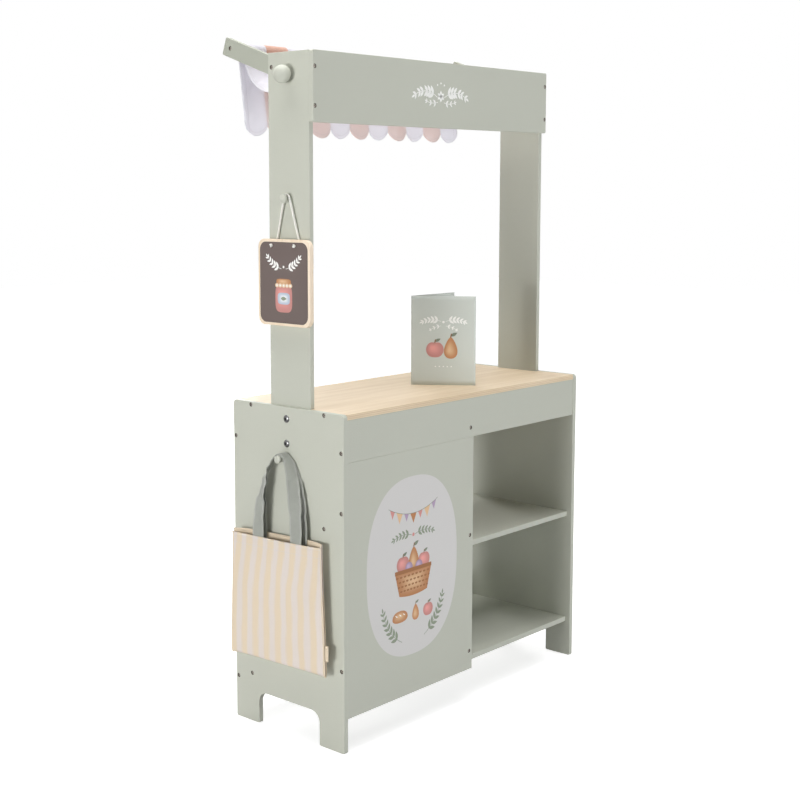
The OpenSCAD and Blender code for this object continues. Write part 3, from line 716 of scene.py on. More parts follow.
def clear_of(point, holes, reach):
    """True where a point is away from every fastener's line."""
    for face, facing, span in holes:
        back = (face - point).dot(facing)
        if -8 * MM < back < span + 2 * MM:
            if np.linalg.norm(point - face + facing * back) < reach:
                return False
    return True


def board_mesh(name, node, width, holes):
    """A CAD board with its outer edges rounded and its screw holes left sharp."""
    bm = merged(node)
    bmesh.ops.dissolve_limit(
        bm, angle_limit=math.radians(0.5), verts=bm.verts[:], edges=bm.edges[:]
    )
    # Faces of the rounded edges are marked rim, for the paint's painted highlight.
    rim = bm.faces.layers.float.new("rim")
    sharp = [
        edge for edge in bm.edges
        if len(edge.link_faces) == 2 and edge.calc_face_angle() > math.radians(40)
        and clear_of(np.array((edge.verts[0].co + edge.verts[1].co) / 2), holes, 4.4 * MM)
    ]
    rounded = bmesh.ops.bevel(
        bm, geom=sharp, offset=width, offset_type="OFFSET", segments=3, profile=0.5,
        affect="EDGES", clamp_overlap=False,
    )
    for face in rounded["faces"]:
        face[rim] = 1.0
    mesh = bpy.data.meshes.new(name)
    bm.to_mesh(mesh)
    bm.free()
    return smooth_by_angle(mesh, 42)


def smooth_by_angle(mesh, degrees):
    """A mesh with smooth rounded edges and flat faces kept flat."""
    mesh.shade_smooth()
    mesh.set_sharp_from_angle(angle=math.radians(degrees))

    def add(obj):
        weight = obj.modifiers.new("weight", "WEIGHTED_NORMAL")
        weight.keep_sharp = True
        weight.weight = 100
    return settled(mesh, add)


def turned_mesh(name, node):
    """A CAD piece of turned or plain round shape, smoothed."""
    bm = merged(node)
    mesh = bpy.data.meshes.new(name)
    bm.to_mesh(mesh)
    bm.free()
    return smooth_by_angle(mesh, 40)


def lathe(name, node, base, side, profile):
    """A round piece about a node's X axis, from (radius, distance out) points."""
    low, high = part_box(node)
    spin = np.linspace(0, TURN, 49)
    _, y, z = middle_of(low, high)
    out, along = (np.array(column)[:, None] for column in zip(*profile))
    points = np.stack(np.broadcast_arrays(
        base + side * along, y + out * np.cos(spin), z + out * np.sin(spin)
    ), axis=-1)
    uvs = np.stack(np.broadcast_arrays(spin[None, :] * MM, along), axis=-1)
    return grid_mesh(name, points, uvs, weld=True)


# Geometry nodes

def group_tree(name, inputs):
    """A geometry tree with named inputs, and a function that fetches one as a wire."""
    tree = bpy.data.node_groups.new(name, "GeometryNodeTree")
    tree.interface.new_socket("Geometry", in_out="INPUT", socket_type="NodeSocketGeometry")
    for key, kind in inputs.items():
        tree.interface.new_socket(key, in_out="INPUT", socket_type=kind)
    tree.interface.new_socket("Geometry", in_out="OUTPUT", socket_type="NodeSocketGeometry")
    net = Net(tree)
    source = net.node("NodeGroupInput")
    return net, source.also


def end_tree(net, instances, degrees, finish=None):
    """Ends a tree: real geometry, smooth shading and, where it has one, its only material."""
    shape = net.node("GeometryNodeRealizeInstances", None, {0: instances})
    angle = net.node("GeometryNodeInputMeshEdgeAngle")
    edges = net.node(
        "FunctionNodeCompare", {"operation": "LESS_THAN"}, {0: angle, 1: math.radians(degrees)}
    )
    shape = net.node("GeometryNodeSetShadeSmooth", {"domain": "FACE"}, {0: shape})
    shape = net.node(
        "GeometryNodeSetShadeSmooth", {"domain": "EDGE"}, {"Geometry": shape, "Shade Smooth": edges}
    )
    if finish is not None:
        shape = coated(net, shape, finish)
    net.node("NodeGroupOutput", None, {0: shape})
    return net.tree


def lowered(net, shape, depth):
    """A shape moved down its own Z."""
    drop = net.node("ShaderNodeCombineXYZ", None, {2: 0 - depth})
    return net.node("GeometryNodeTransform", None, {"Geometry": shape, "Translation": drop})


def on_points(net, points, shape, seed):
    """A shape on each point, its Z along the point's facing and its spin at random."""
    facing = net.node(
        "GeometryNodeInputNamedAttribute", {"data_type": "FLOAT_VECTOR"}, {"Name": "facing"}
    )
    aim = net.node("FunctionNodeAlignRotationToVector", {"axis": "Z"}, {"Vector": facing})
    spin = net.node(
        "FunctionNodeRandomValue", {"data_type": "FLOAT"}, {"Max": TURN, "Seed": seed}, 1
    )
    turn = net.node("ShaderNodeCombineXYZ", None, {2: spin})
    aim = net.node(
        "FunctionNodeRotateRotation", {"rotation_space": "LOCAL"},
        {0: aim, 1: net.node("FunctionNodeEulerToRotation", None, {0: turn})},
    )
    return net.node(
        "GeometryNodeInstanceOnPoints", None, {"Points": points, "Instance": shape, "Rotation": aim}
    )


def cylinder(net, radius, depth, sides):
    """A cylinder whose upper face is at its origin."""
    shape = net.node(
        "GeometryNodeMeshCylinder", {"fill_type": "NGON"},
        {"Vertices": sides, "Radius": radius, "Depth": depth},
    )
    return lowered(net, shape, depth * 0.5)


def cut_away(net, shape, tools):
    """A closed shape with other closed shapes taken out of it."""
    return net.node(
        "GeometryNodeMeshBoolean", {"operation": "DIFFERENCE", "solver": "MANIFOLD"},
        {"Mesh 1": shape, "Mesh 2": tools},
    )


def coated(net, shape, finish):
    return net.node("GeometryNodeSetMaterial", None, {"Geometry": shape, "Material": finish})


def joined_shapes(net, *shapes):
    return net.node("GeometryNodeJoinGeometry", None, {0: list(shapes)})


def screw_tree():
    """Sunk screws with a cross recess in a dished rim, dark as painted shade of the hole, their
    rims' faces on the points.
    """
    net, given = group_tree("Stall screws", {
        "Head": "NodeSocketFloat", "Recess": "NodeSocketFloat", "Seed": "NodeSocketInt",
        "Rim": "NodeSocketMaterial", "Material": "NodeSocketMaterial",
    })
    head = given("Head")
    sink = head * 0.22
    disc = lowered(net, cylinder(net, head, head * 0.4, 40), head * -0.05)
    bore = net.node(
        "GeometryNodeMeshCone", {"fill_type": "NGON"},
        {
            "Vertices": 40, "Radius Top": head * 0.9, "Radius Bottom": head * 0.5,
            "Depth": head * 0.5,
        },
    )
    low = net.split(net.node("GeometryNodeBoundBox", None, {0: bore}, "Min"))[2]
    bore = lowered(net, bore, low + sink)
    # The dish takes the dark rim finish, painted shade of the screw's hole.
    shade_dish = coated(net, cut_away(net, disc, bore), given("Rim"))
    bars = []
    for turn in (0, TURN / 4):
        size = net.node("ShaderNodeCombineXYZ", None, {0: given("Recess"), 1: head * 0.18, 2: head})
        bar = net.node("GeometryNodeMeshCube", None, {"Size": size})
        placed = {"Geometry": bar, "Rotation": (0, 0, turn)}
        bars.append(net.node("GeometryNodeTransform", None, placed))
    core = lowered(net, cylinder(net, head * 0.56, head * 1.2, 24), sink * 0.7)
    shank = lowered(net, cylinder(net, head * 0.36, head * 6.0, 16), head * 1.2)
    screw = coated(net, joined_shapes(net, cut_away(net, core, bars), shank), given("Material"))
    shape = joined_shapes(net, shade_dish, screw)
    screws = on_points(net, given("Geometry"), shape, given("Seed"))
    return end_tree(net, screws, 30)


def bolt_tree():
    """Bolts with low domed heads and hex sockets, their heads' tops on the points."""
    net, given = group_tree("Stall bolts", {
        "Head": "NodeSocketFloat", "Height": "NodeSocketFloat", "Socket": "NodeSocketFloat",
        "Shank": "NodeSocketFloat", "Seed": "NodeSocketInt", "Material": "NodeSocketMaterial",
    })
    head, height = given("Head"), given("Height")
    ball = net.node("GeometryNodeMeshUVSphere", None, {"Segments": 40, "Rings": 24, "Radius": 1.0})
    size = net.node("ShaderNodeCombineXYZ", None, {0: head, 1: head, 2: height})
    ball = net.node("GeometryNodeTransform", None, {"Geometry": ball, "Scale": size})
    lower_half = cylinder(net, head * 1.5, height * 2, 12)
    socket = lowered(net, cylinder(net, given("Socket"), height * 0.8, 6), 0 - height * 1.02)
    dome = cut_away(net, ball, [lower_half, socket])
    shank = cylinder(net, head * 0.54, given("Shank"), 24)
    shape = lowered(net, joined_shapes(net, dome, shank), height)
    bolts = on_points(net, given("Geometry"), shape, given("Seed"))
    return end_tree(net, bolts, 32, given("Material"))


def stitch_tree():
    """Sewing stitches at an even pitch along the edges of a mesh."""
    net, given = group_tree("Stall stitches", {
        "Pitch": "NodeSocketFloat", "Thread": "NodeSocketFloat", "Material": "NodeSocketMaterial",
    })
    line = net.node("GeometryNodeMeshToCurve", None, {0: given("Geometry")})
    points = net.node(
        "GeometryNodeCurveToPoints", {"mode": "LENGTH"}, {"Curve": line, "Length": given("Pitch")}
    )
    bead = net.node("GeometryNodeMeshUVSphere", None, {"Segments": 6, "Rings": 4, "Radius": 0.5})
    size = net.node(
        "ShaderNodeCombineXYZ", None,
        {0: given("Thread"), 1: given("Thread"), 2: given("Pitch") * 0.72},
    )
    sewn = net.node(
        "GeometryNodeInstanceOnPoints", None,
        {"Points": points, "Instance": bead, "Rotation": points.also("Rotation"), "Scale": size},
    )
    return end_tree(net, sewn, 80, given("Material"))


def grown(name, source, tree, values):
    """The plain mesh that a geometry tree makes from a source mesh."""
    def add(obj):
        grow = obj.modifiers.new("grow", "NODES")
        grow.node_group = tree
        for item in tree.interface.items_tree:
            if item.in_out == "INPUT" and item.name in values:
                grow[item.identifier] = values[item.name]
    made = settled(source, add)
    made.name = name
    return made


def facing_points(name, places):
    """Points that carry the direction a fastener faces."""
    mesh = bpy.data.meshes.new(name)
    mesh.from_pydata([face.tolist() for face, _, _ in places], [], [])
    facing = mesh.attributes.new("facing", "FLOAT_VECTOR", "POINT")
    outward = np.array([out for _, out, _ in places], dtype=np.float32)
    facing.data.foreach_set("vector", outward.ravel())
    return mesh


def seams(scene, name, lines, body, thread=0.7 * MM):
    """Rows of stitches along lines of points, as one piece."""
    points = []
    edges = []
    for line in lines:
        start = len(points)
        points.extend(np.asarray(line).tolist())
        edges.extend((k, k + 1) for k in range(start, len(points) - 1))
    source = bpy.data.meshes.new(name)
    source.from_pydata(points, edges, [])
    # The thread's grey is partly painted shade along the seams.
    finish = finish_of("sewing_thread", cotton, scene.stall_cloth.thread)
    tree = bpy.data.node_groups.get("Stall stitches") or stitch_tree()
    values = {"Pitch": scene.stall_cloth.stitch, "Thread": thread, "Material": finish}
    return add_piece(name, grown(name, source, tree, values), body, [finish])


# Printed artwork

class Print:
    """Flat artwork of filled shapes and lines, in metres, a little proud of the face it is on."""

    def __init__(self):
        self.points = []
        self.faces = []
        self.tints = []

    def fill(self, outline, tint, layer, core=None, light=(0.0, 0.0), rings=5):
        """A closed shape, shaded from its rim to a core tint around a light point."""
        outline = np.asarray(outline)
        middle = outline.mean(axis=0)
        middle = middle + np.asarray(light) * np.ptp(outline, axis=0) / 2
        core = tint if core is None else core
        count = len(outline)
        start = len(self.points)
        for lap in range(rings):
            share = lap / rings
            for x, y in middle + (outline - middle) * (1 - share):
                self.put(x, y, layer, tint, core, share)
        self.put(middle[0], middle[1], layer, tint, core, 1.0)
        for lap in range(rings):
            for k in range(count):
                here = start + lap * count + k
                beside = start + lap * count + (k + 1) % count
                if lap < rings - 1:
                    self.faces.append((here, beside, beside + count, here + count))
                else:
                    self.faces.append((here, beside, start + rings * count))

    def put(self, x, y, layer, tint, core, share):
        ease = share * share * (3 - 2 * share)
        self.points.append((x, y, layer))
        self.tints.append([a + (b - a) * ease for a, b in zip(tint, core)] + [1.0])

    def line(self, route, width, tint, layer, taper=0.0):
        """A drawn line, which thins towards its ends by its taper."""
        route = np.asarray(route, dtype=float)
        along = directions(route)
        across = np.stack([-along[:, 1], along[:, 0]], axis=1)
        swell = np.sin(np.linspace(0, math.pi, len(route)))
        half = width / 2 * (1 - taper + taper * swell)[:, None]
        start = len(self.points)
        for left, right in zip(route + across * half, route - across * half):
            self.put(left[0], left[1], layer, tint, tint, 0)
            self.put(right[0], right[1], layer, tint, tint, 0)
        for k in range(start, len(self.points) - 2, 2):
            self.faces.append((k + 1, k + 3, k + 2, k))

    def mesh(self, name, origin, right, up):
        """The artwork as a mesh on a face, with its tints on its points."""
        origin, right, up = (np.asarray(v, dtype=float) for v in (origin, right, up))
        out = np.cross(right, up)
        flat = np.array(self.points)
        lift = (0.06 + 0.03 * flat[:, 2:3]) * MM
        mesh = bpy.data.meshes.new(name)
        places = origin + flat[:, :1] * right + flat[:, 1:2] * up + lift * out
        mesh.from_pydata(places.tolist(), [], self.faces)
        tints = mesh.color_attributes.new("ink", "FLOAT_COLOR", "POINT")
        tints.data.foreach_set("color", np.array(self.tints, dtype=np.float32).ravel())
        bm = bmesh.new()
        bm.from_mesh(mesh)
        for face in bm.faces:
            if face.normal.dot(Vector(out)) < 0:
                face.normal_flip()
        bm.to_mesh(mesh)
        bm.free()
        return mesh


def inks(tints, *names):
    """Colours of the artwork as plain tuples."""
    return [tuple(getattr(tints, name)) for name in names]


def ring(count=44):
    """Angles round a circle from its top, with their sines and cosines."""
    around = np.linspace(0, TURN, count, endpoint=False)
    return around, np.sin(around), np.cos(around)


def oval(at, wide, high, count=44, power=2.0):
    """Outline of an ellipse, fuller at its corners when the power is above two."""
    _, s, c = ring(count)
    s, c = (np.sign(v) * np.abs(v) ** (2 / power) for v in (s, c))
    return np.stack([at[0] + wide * s, at[1] + high * c], axis=1)


def dot(art, at, radius, tint, count=16):
    art.fill(oval(at, radius, radius, count), tint, 1, rings=2)


def leaf_shape(at, angle, size, wide):
    """Outline of a pointed leaf that grows from a point."""
    share = np.linspace(0, 1, 11)
    half = wide * np.sin(math.pi * share ** 0.85)
    up = np.stack([share * size, half], axis=1)
    down = np.stack([share[-2:0:-1] * size, -half[-2:0:-1]], axis=1)
    shape = np.concatenate([up, down])
    c, s = math.cos(angle), math.sin(angle)
    return np.asarray(at) + shape @ np.array([[c, s], [-s, c]])


def sprig(art, at, angle, size, pairs, tint, bend, leaf, width):
    """A bending stem with pairs of leaves and one at its tip."""
    share = np.linspace(0, 1, 17)
    heading = angle + bend * share
    steps = np.stack([np.cos(heading), np.sin(heading)], axis=1) * size / 16
    stem = np.asarray(at) + np.concatenate([[[0, 0]], np.cumsum(steps[:-1], axis=0)])
    art.line(stem, width, tint, 1)
    for k in range(pairs):
        place = 3 + k * 12 // max(pairs - 1, 1)
        reach = size * leaf * (1 - 0.45 * k / pairs)
        for side in (-1, 1):
            shape = leaf_shape(stem[place], heading[place] + side * 0.75, reach, reach * 0.2)
            art.fill(shape, tint, 1, rings=2)
    tip = size * leaf
    art.fill(leaf_shape(stem[-1], heading[-1], tip * 0.6, tip * 0.12), tint, 1, rings=2)


def sprig_pair(art, at, lean, size, pairs, tint, bend, leaf=0.3, width=0.7 * MM):
    """Two sprigs that mirror each other and grow outwards."""
    for side in (-1, 1):
        angle = (0 if side > 0 else math.pi) + side * lean
        sprig(art, (side * at[0], at[1]), angle, size, pairs, tint, side * bend, leaf, width)


def apple(art, at, size, rim, core, stem, leaf, layer):
    around, s, c = ring()
    lean = np.where(around > math.pi, around - TURN, around)
    reach = 1 - 0.17 * hump(lean, 0, 0.42) - 0.08 * hump(np.abs(lean), math.pi, 0.45)
    shape = np.stack([at[0] + size * 1.04 * reach * s, at[1] + size * reach * c], axis=1)
    art.fill(shape, rim, layer, core, (-0.28, 0.28))
    stalk(art, (at[0], at[1] + size * 0.78), size, stem, leaf, layer)


def pear(art, at, size, rim, core, stem, leaf, layer):
    _, s, c = ring()
    shape = np.stack([at[0] + size * s * (0.66 - 0.27 * c), at[1] + size * 1.12 * c], axis=1)
    art.fill(shape, rim, layer, core, (-0.22, -0.22))
    stalk(art, (at[0], at[1] + size * 1.08), size, stem, leaf, layer)


def stalk(art, at, size, stem, leaf, layer):
    route = [(at[0] + size * 0.10 * t * t, at[1] + size * 0.42 * t) for t in np.linspace(0, 1, 6)]
    art.line(route, size * 0.13, stem, layer + 1)
    art.fill(leaf_shape(route[2], 0.5, size * 0.75, size * 0.17), leaf, layer + 1, rings=2)


def jar(art, at, size, tints):
    """A jam jar with a label and a cloth lid."""
    squared = oval((0, 0), 1, 1, power=4.0)
    rose, sky, tan, caramel, chalk, leaf = inks(
        tints, "rose", "sky", "tan", "caramel", "chalk", "leaf"
    )
    at = np.asarray(at)
    art.fill(at + squared * size * (0.86, 1), shade(rose, 0.85), 1, shade(rose, 1.3), (-0.3, 0.2))
    art.fill(at + squared * size * (0.62, 0.42), sky, 2, chalk)
    art.fill(leaf_shape(at + (-0.3 * size, 0), 0.0, 0.6 * size, 0.14 * size), leaf, 3, rings=2)
    lid = at + (0, 1.18 * size)
    art.fill(lid + squared * size * (0.74, 0.24), caramel, 2, tan, (-0.2, 0.3))
    for k in range(5):
        frill = lid + ((k - 2) * 0.34 * size, -0.24 * size)
        art.fill(oval(frill, 0.2 * size, 0.16 * size, 20), tan, 3, chalk)


def loaf(art, at, size, rim, core, cut, layer):
    _, s, c = ring()
    rise = np.where(c > 0, 0.62, 0.42)
    across = np.sign(s) * np.abs(s) ** 0.8
    shape = np.stack([at[0] + size * across, at[1] + size * rise * c], axis=1)
    art.fill(shape, rim, layer, core, (-0.1, 0.3))
    for k in (-0.5, 0, 0.5):
        route = [
            (at[0] + size * (k - 0.12 + 0.3 * t), at[1] + size * (0.34 - 0.3 * t + 0.1 * t * t))
            for t in np.linspace(0, 1, 8)
        ]
        art.line(route, size * 0.09, cut, layer + 1, 0.8)


def basket(art, at, wide, high, rim, core, weave_tint, layer):
    """A woven basket with a rolled rim."""
    foot = 0.76
    rows, canes = 5, 9
    share = np.linspace(-1, 1, 13)
    top = np.stack([at[0] + wide * share, np.full(13, at[1] + high)], axis=1)
    sag = 0.1 * high * (1 - share ** 2)
    low = np.stack([at[0] + wide * foot * share[::-1], at[1] - sag], axis=1)
    art.fill(np.concatenate([top, low]), rim, layer, core, (0, 0.1))
    t = np.linspace(0, 1, 5)
    for row in range(1, rows):
        level = row / rows
        half = wide * (foot + (1 - foot) * level)
        for k in range(canes):
            start = -1 + 2 * (k + 0.5 * (row % 2)) / canes
            end = min(start + 0.15, 1)
            across = at[0] + half * (start + (end - start) * t)
            dip = at[1] + high * level - 0.8 * MM * np.sin(math.pi * t)
            art.line(np.stack([across, dip], axis=1), high * 0.09, weave_tint, layer + 1, 0.6)
    art.line(top, high * 0.16, weave_tint, layer + 1)


def bunting(art, left, right, dip, count, tints, cord, layer):
    """A string of small pennants between two points."""
    share = np.linspace(0, 1, 33)
    left, right = np.asarray(left), np.asarray(right)
    string = left + (right - left) * share[:, None]
    string[:, 1] -= dip * 4 * share * (1 - share)
    for k in range(count):
        a, b = (string[int(round((k + end) * 32 / count))] for end in (0.12, 0.88))
        tip = (a + b) / 2 - np.array([0, np.linalg.norm(b - a) * 1.1])
        pennant = np.concatenate([
            np.linspace(a, b, 4), np.linspace(b, tip, 5)[1:], np.linspace(tip, a, 5)[1:-1],
        ])
        art.fill(pennant, tints[k % len(tints)], layer, rings=2)
    art.line(string, 0.8 * MM, cord, layer + 1)


# Pieces

class STALL_OT_boards(bpy.types.Operator):
    """Build the boards, the turned pieces and the awning's bars"""
    bl_idname = "stall.boards"
    bl_label = "Boards"

    def execute(self, context):
        wood_set = context.scene.stall_wood
        coats = {
            "stall": finish_of("matt_sage_paint", paint, wood_set.sage),
            "awning": finish_of("matt_arm_paint", paint, wood_set.arm),
        }
        sage = coats["stall"]
        grain, bar_grain = (3.2, 46, 46), (3.2, 60, 60)
        birch = finish_of("birch_plywood", wood, wood_set.birch, grain, wood_set.ply)
        dowel = finish_of("birch_dowel", wood, wood_set.birch, bar_grain, 0)
        holes = shafts(FASTENERS)
        for body, nodes in SAGE_BOARDS.items():
            for node in nodes:
                mesh = board_mesh(node + "_board", node, wood_set.edge, holes)
                add_piece(node + "_board", mesh, body, [coats[body]], [node])
        top = board_mesh("counter_board", "counter_top", wood_set.edge, holes)
        add_piece("counter_board", top, "stall", [birch], ["counter_top"])
        for node, mesh in (
            ("plaque_peg", turned_mesh("plaque_peg", "plaque_peg")), ("bag_peg", self.bag_peg()),
        ):
            add_piece(node + "_turned", mesh, "stall", [sage], [node])
        for node in ("left_knob", "right_knob"):
            mesh = self.knob(node, wood_set.knob)
            add_piece(node + "_ball", mesh, node, [sage], [node])
        for node in ("front_bar", "rear_bar"):
            mesh = turned_mesh(node, node)
            add_piece(node + "_dowel", mesh, "awning", [dowel], [node])
        return {"FINISHED"}

    def bag_peg(self):
        """A turned peg with a slim head, from the side panel outwards."""
        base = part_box("left_side_panel")[0].x
        shown = 0.84
        reach = (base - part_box("bag_peg")[0].x) * shown
        profile = (
            (5.0, 0.0), (5.0, 0.66), (5.3, 0.71), (5.9, 0.75), (6.3, 0.8), (6.4, 0.86), (6.2, 0.92),
            (5.6, 0.965), (4.4, 0.99), (2.4, 0.999), (0.0, 1.0),
        )
        profile = [(r * MM, share * reach) for r, share in profile]
        return lathe("bag_peg", "bag_peg", base, -1, profile)

    def knob(self, node, radius):
        """A ball knob that is flat where it faces its post."""
        low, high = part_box(node)
        side = 1 if low.x > 0 else -1
        stand = 0.92
        around = np.linspace(-math.asin(stand), math.pi / 2, 28)
        profile = [(radius * math.cos(a), radius * (stand + math.sin(a))) for a in around]
        return lathe(node, node, low.x if side > 0 else high.x, side, profile)


class STALL_OT_fasteners(bpy.types.Operator):
    """Build the screws and bolts, and finish the nuts and the pivots"""
    bl_idname = "stall.fasteners"
    bl_label = "Fasteners"

    def execute(self, context):
        metal_set = context.scene.stall_metal
        # The dark steel is painted shade on the screws' rims, and the pivot bolts' own steel.
        dark = finish_of("dark_steel", metal, metal_set.dark, 0.45)
        core = finish_of("screw_steel_core", metal, metal_set.core, 0.3)
        bright = finish_of("plated_steel", metal, metal_set.bright, 0.16)
        tree = screw_tree()
        values = {
            "Head": metal_set.screw_head, "Recess": metal_set.cross, "Seed": 7,
            "Rim": dark, "Material": core,
        }
        for name, body, nodes in (
            ("stall_screws", "stall", STALL_SCREWS), ("awning_screws", "awning", ("arm_screws",)),
        ):
            source = facing_points(name, shafts(nodes))
            mesh = grown(name, source, tree, values)
            add_piece(name, mesh, body, list(mesh.materials), nodes)
        places = shafts(("post_bolts",))
        head = np.ptp(islands("post_bolts")[0], axis=0)[1] / 2
        values = {
            "Head": float(head), "Height": metal_set.dome, "Socket": metal_set.socket,
            "Shank": float(places[0][2]) - metal_set.dome, "Seed": 3, "Material": bright,
        }
        bolts = grown("post_bolt_set", facing_points("post_bolt_set", places), bolt_tree(), values)
        add_piece("post_bolt_set", bolts, "stall", [bright], ["post_bolts"])
        for node, finish in (
            ("post_nuts", bright), ("left_pivot_bolt", dark), ("right_pivot_bolt", dark),
        ):
            frame["nodes"][node].data.materials.clear()
            frame["nodes"][node].data.materials.append(finish)
        return {"FINISHED"}


def bar_axis(node):
    """Axis of an awning bar in Y and Z, and its radius."""
    low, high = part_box(node)
    return np.array([(low.y + high.y) / 2, (low.z + high.z) / 2]), (high.z - low.z) / 2


class STALL_OT_awning(bpy.types.Operator):
    """Build the canopy and the valance with their hems"""
    bl_idname = "stall.awning"
    bl_label = "Awning cloth"

    # Points along the canopy's fall, and those at which its two tails are sewn on
    fall_points, rear_seam, front_seam = 70, 8, 63

    def execute(self, context):
        cloth = context.scene.stall_cloth
        low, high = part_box("awning_canopy")
        self.half = (high.x - low.x) / 2
        peaches = {"striped_cotton": cloth.peach, "striped_cotton_inside": cloth.inside}
        finishes = [
            finish_of(name, striped_cloth, cloth.white, peach, self.half, cloth.stripes)
            for name, peach in peaches.items()
        ]
        self.canopy(context.scene, cloth, finishes)
        self.valance(context.scene, cloth, finishes)
        return {"FINISHED"}

    def canopy_line(self, cloth):
        """The canopy's section from tail to tail, round both bars, and where its fall starts."""
        rear, radius = bar_axis("rear_bar")
        front, _ = bar_axis("front_bar")
        wrap = radius + 0.9 * MM
        end = front - (wrap, 0)
        fall = bezier(
            rear + (wrap, 0), (rear[0] + cloth.sag_out, rear[1] - cloth.sag_rear),
            end - (0, cloth.sag_front), end, self.fall_points,
        )
        rear_tail = bezier(
            fall[self.rear_seam] + mm(-1.2, -1.6), fall[self.rear_seam // 2] + mm(-3, -4),
            rear + (3 * MM, -wrap), rear + (0, -wrap), 12,
        )
        front_tail = bezier(
            front + (0, -wrap), front + (-7 * MM, -wrap), fall[self.front_seam] + mm(1.8, 9),
            fall[self.front_seam] + mm(1.6, 0), 12,
        )
        before = np.concatenate([rear_tail[:-1], arc(rear, wrap, 270, 8, 26)])
        after = np.concatenate([arc(front, wrap, 172, -90, 26), front_tail[1:]])
        return np.concatenate([before, fall, after]), len(before)

    def canopy(self, scene, cloth, finishes):
        line, first = self.canopy_line(cloth)
        run = lengths(line)
        along = directions(line)
        out = np.stack([along[:, 1], -along[:, 0]], axis=1)
        share = np.zeros(len(line))
        share[first:first + self.fall_points] = np.linspace(0, 1, self.fall_points)
        x = np.linspace(-self.half, self.half, 12 * cloth.stripes + 1)[None, :]
        shift = self.canopy_waves(cloth, x, share[:, None])
        yz = line[:, None, :] + out[:, None, :] * shift[:, :, None]
        points = np.concatenate([np.broadcast_to(x[:, :, None], yz.shape[:2] + (1,)), yz], axis=2)
        uvs = np.stack(np.broadcast_arrays(x, run[:, None]), axis=-1)
        mesh = thickened(grid_mesh("canopy_cloth", points, uvs), cloth.thick, finishes)
        sheet = add_piece(
            "canopy_cloth", mesh, "awning", finishes, ["awning_canopy"]
        )
        face = np.concatenate([np.zeros((len(line), 1)), out], axis=1) * cloth.thick / 2
        sewn_rows = first + self.rear_seam, first + self.front_seam
        fall = slice(*sewn_rows)
        rows = []
        for side in (-1, 1):
            rows += [points[fall, column] + side * face[fall] for column in (2, -3)]
            rows += [points[row] + side * face[row] for row in sewn_rows]
        sewn = seams(scene, "canopy_seams", rows, "awning")

    def canopy_waves(self, cloth, x, share):
        """How far the cloth stands off its section, with slow waves, gathers and side hems."""
        loose = np.sin(math.pi * share)
        wave = (
            1.5 * np.sin(TURN * x / 0.23 + 1.3 + 1.8 * share)
            + 0.8 * np.sin(TURN * x / 0.105 + 0.4 - 2.1 * share)
        )
        gather = 0.55 * np.sin(TURN * x / 0.027 + 2.2 * np.sin(TURN * x / 0.19))
        near_bar = hump(share, 1, 0.1) + hump(share, 0, 0.1)
        hem = np.clip((np.abs(x) - (self.half - cloth.hem)) / (1.2 * MM), 0, 1)
        return ((wave + gather * near_bar * 1.6) * loose + 0.5 * hem * (loose > 0)) * MM

    def valance(self, scene, cloth, finishes):
        front, _ = bar_axis("front_bar")
        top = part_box("awning_valance")[1].z
        u = np.linspace(0, cloth.stripes, 16 * cloth.stripes + 1)
        wide = 2 * self.half / cloth.stripes
        hem = cloth.drop - cloth.scallop * (1 - np.abs(np.sin(math.pi * u)) ** 0.62)
        first = front[1] - top
        share = np.linspace(0, 1, 44)[:, None]
        down = first + (hem[None, :] - first) * share
        grow = (down - first) / (cloth.drop - first)
        x = u * wide - self.half
        wave = 3 * grow ** 2 * np.sin(math.pi * u)[None, :]
        wave = wave + 1.1 * grow * np.sin(TURN * x / 0.171 + 0.9)[None, :]
        wave = wave + 0.5 * np.sin(math.pi * grow) * np.sin(TURN * x / 0.037 + 1.5 * grow)
        back = front[0] + cloth.lean * (0.28 - grow) + wave * MM
        points = np.stack([np.broadcast_to(x, down.shape), back, front[1] - down], axis=-1)
        uvs = np.stack([np.broadcast_to(x, down.shape), down], axis=-1)
        mesh = thickened(grid_mesh("valance_cloth", points, uvs), cloth.thick, finishes)
        sheet = add_piece(
            "valance_cloth", mesh, "valance", finishes, ["awning_valance"]
        )
        rows = []
        for side in (-1, 1):
            shift = np.array([0, side * (cloth.thick / 2 + 0.1 * MM), 0])
            rows += [points[row] + shift for row in (-3, 2)]
            rows += [points[2:-3, column] + shift for column in (3, -4)]
        sewn = seams(scene, "valance_seams", rows, "valance")


